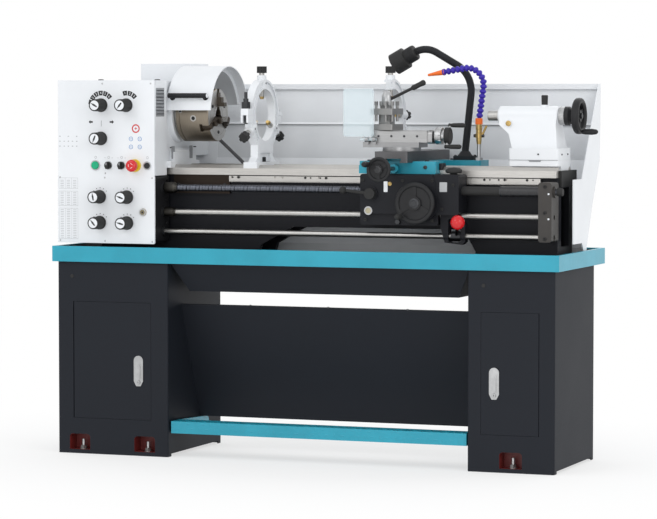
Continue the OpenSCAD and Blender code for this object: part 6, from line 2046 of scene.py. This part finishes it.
@dataclass
class Studio:
    """Floor, lamps, background and camera."""

    key: float = 50.0
    fill: float = 45.0
    front: float = 32.0
    sky: float = 0.93
    lens: float = 165.2
    place: Point = (3.2371, -8.4590, 1.0909)
    turn: Point = (86.85, 0.0, 20.86)

    def build(self) -> None:
        """Sets the whole stage."""
        self.floor()
        self.background()
        self.lamp("key_lamp", (-2.6, -4.8, 4.6), (0.0, 0.0, 0.7), 3.2, self.key)
        self.lamp("fill_lamp", (4.6, -3.0, 3.0), (0.2, 0.0, 0.8), 3.0, self.fill)
        self.lamp("front_lamp", (0.6, -6.2, 1.15), (0.1, 0.1, 0.72), 2.4, self.front)
        self.lamp("back_lamp", (0.5, 4.5, 4.0), (0.0, 0.0, 0.9), 3.0, self.fill)
        self.camera()
        scene = bpy.context.scene
        scene.view_settings.view_transform = "Standard"

    def floor(self) -> None:
        """A pale floor that keeps the object's soft shadow and fades to white."""
        mesh = bpy.data.meshes.new("floor")
        corner = ((-1, -1), (1, -1), (1, 1), (-1, 1))
        mesh.from_pydata([(x * 40, y * 40, -0.001) for x, y in corner], [], [(0, 1, 2, 3)])
        book = Book(bpy.data.materials.new("pale_floor"))
        seen = book.node("ShaderNodeLightPath")
        glossy = Val(book, seen.outputs["Is Glossy Ray"])
        through = Val(book, seen.outputs["Is Transmission Ray"])
        shown = (Val(book, seen.outputs["Is Camera Ray"]) + glossy + through).clip()
        stretched = book.place((1.0, 1.4, 1.0))
        distance = book.value("ShaderNodeVectorMath", {"operation": "LENGTH"}, {0: stretched}, "Value")
        grain = (book.noise(3.0, 3.0) - 0.5) * 0.02
        white = (distance.span(0.7, 1.9) * 0.38 + 0.62 + grain).clip() * shown
        matt = book.node("ShaderNodeBsdfDiffuse", {}, {"Color": (0.9, 0.9, 0.9)}).outputs[0]
        glow = book.node("ShaderNodeEmission", {}, {"Color": (1.0, 1.0, 1.0), "Strength": 1.0}).outputs[0]
        shader = book.node("ShaderNodeMixShader", {}, {0: white, 1: matt, 2: glow}).outputs[0]
        mesh.materials.append(book.finish(shader))
        floor = linked("floor", mesh)

    def background(self) -> None:
        """White to the eye and in reflections, plain light for the object."""
        book = Book(bpy.data.worlds.new("studio"))
        path = book.node("ShaderNodeLightPath").outputs
        rays = {0: path["Is Camera Ray"], 1: path["Is Transmission Ray"]}
        both = book.value("ShaderNodeMath", {"operation": "MAXIMUM"}, rays)
        plain = book.node("ShaderNodeBackground", {}, {"Color": (0.98, 0.99, 1.0), "Strength": self.sky}).outputs[0]
        white = book.node("ShaderNodeBackground", {}, {"Color": (1.0, 1.0, 1.0)}).outputs[0]
        mix = book.node("ShaderNodeMixShader", {}, {0: both, 1: plain, 2: white}).outputs[0]
        book.node("ShaderNodeOutputWorld", {}, {"Surface": mix})
        bpy.context.scene.world = book.owner

    def lamp(self, name: str, place: Point, target: Point, size: float, power: float) -> None:
        """A soft square lamp that points at a target."""
        data = bpy.data.lights.new(name, "AREA")
        data.shape = "SQUARE"
        data.size = size
        data.energy = power
        lamp = linked(name, data)
        lamp.location = place
        lamp.rotation_euler = (Vector(target) - Vector(place)).to_track_quat("-Z", "Y").to_euler()

    def camera(self) -> None:
        """The camera, low and a little to the right."""
        data = bpy.data.cameras.new("camera")
        data.lens = self.lens
        data.sensor_width = 36.0
        data.sensor_fit = "HORIZONTAL"
        data.clip_end = 200.0
        camera = linked("camera", data)
        camera.location = self.place
        camera.rotation_euler = [radians(a) for a in self.turn]
        bpy.context.scene.camera = camera


def main() -> None:
    """Builds the studio, then every sub-assembly in order, and reports their pieces."""
    logging.basicConfig(level=logging.INFO, format="%(name)s: %(message)s")
    Studio().build()
    sets: tuple[type[Assembly], ...] = (
        Cabinets, Tray, Bed, Headstock, ControlFace, ChuckSet, Rods, Carriage, Slides, Rests, LampAndCoolant,
        Tailstock, SplashGuard)
    for make in sets:
        make().build()
        log.info("%s: %s", make.__name__, ", ".join(built))
        built.clear()


if __name__ == "__main__":
    main()
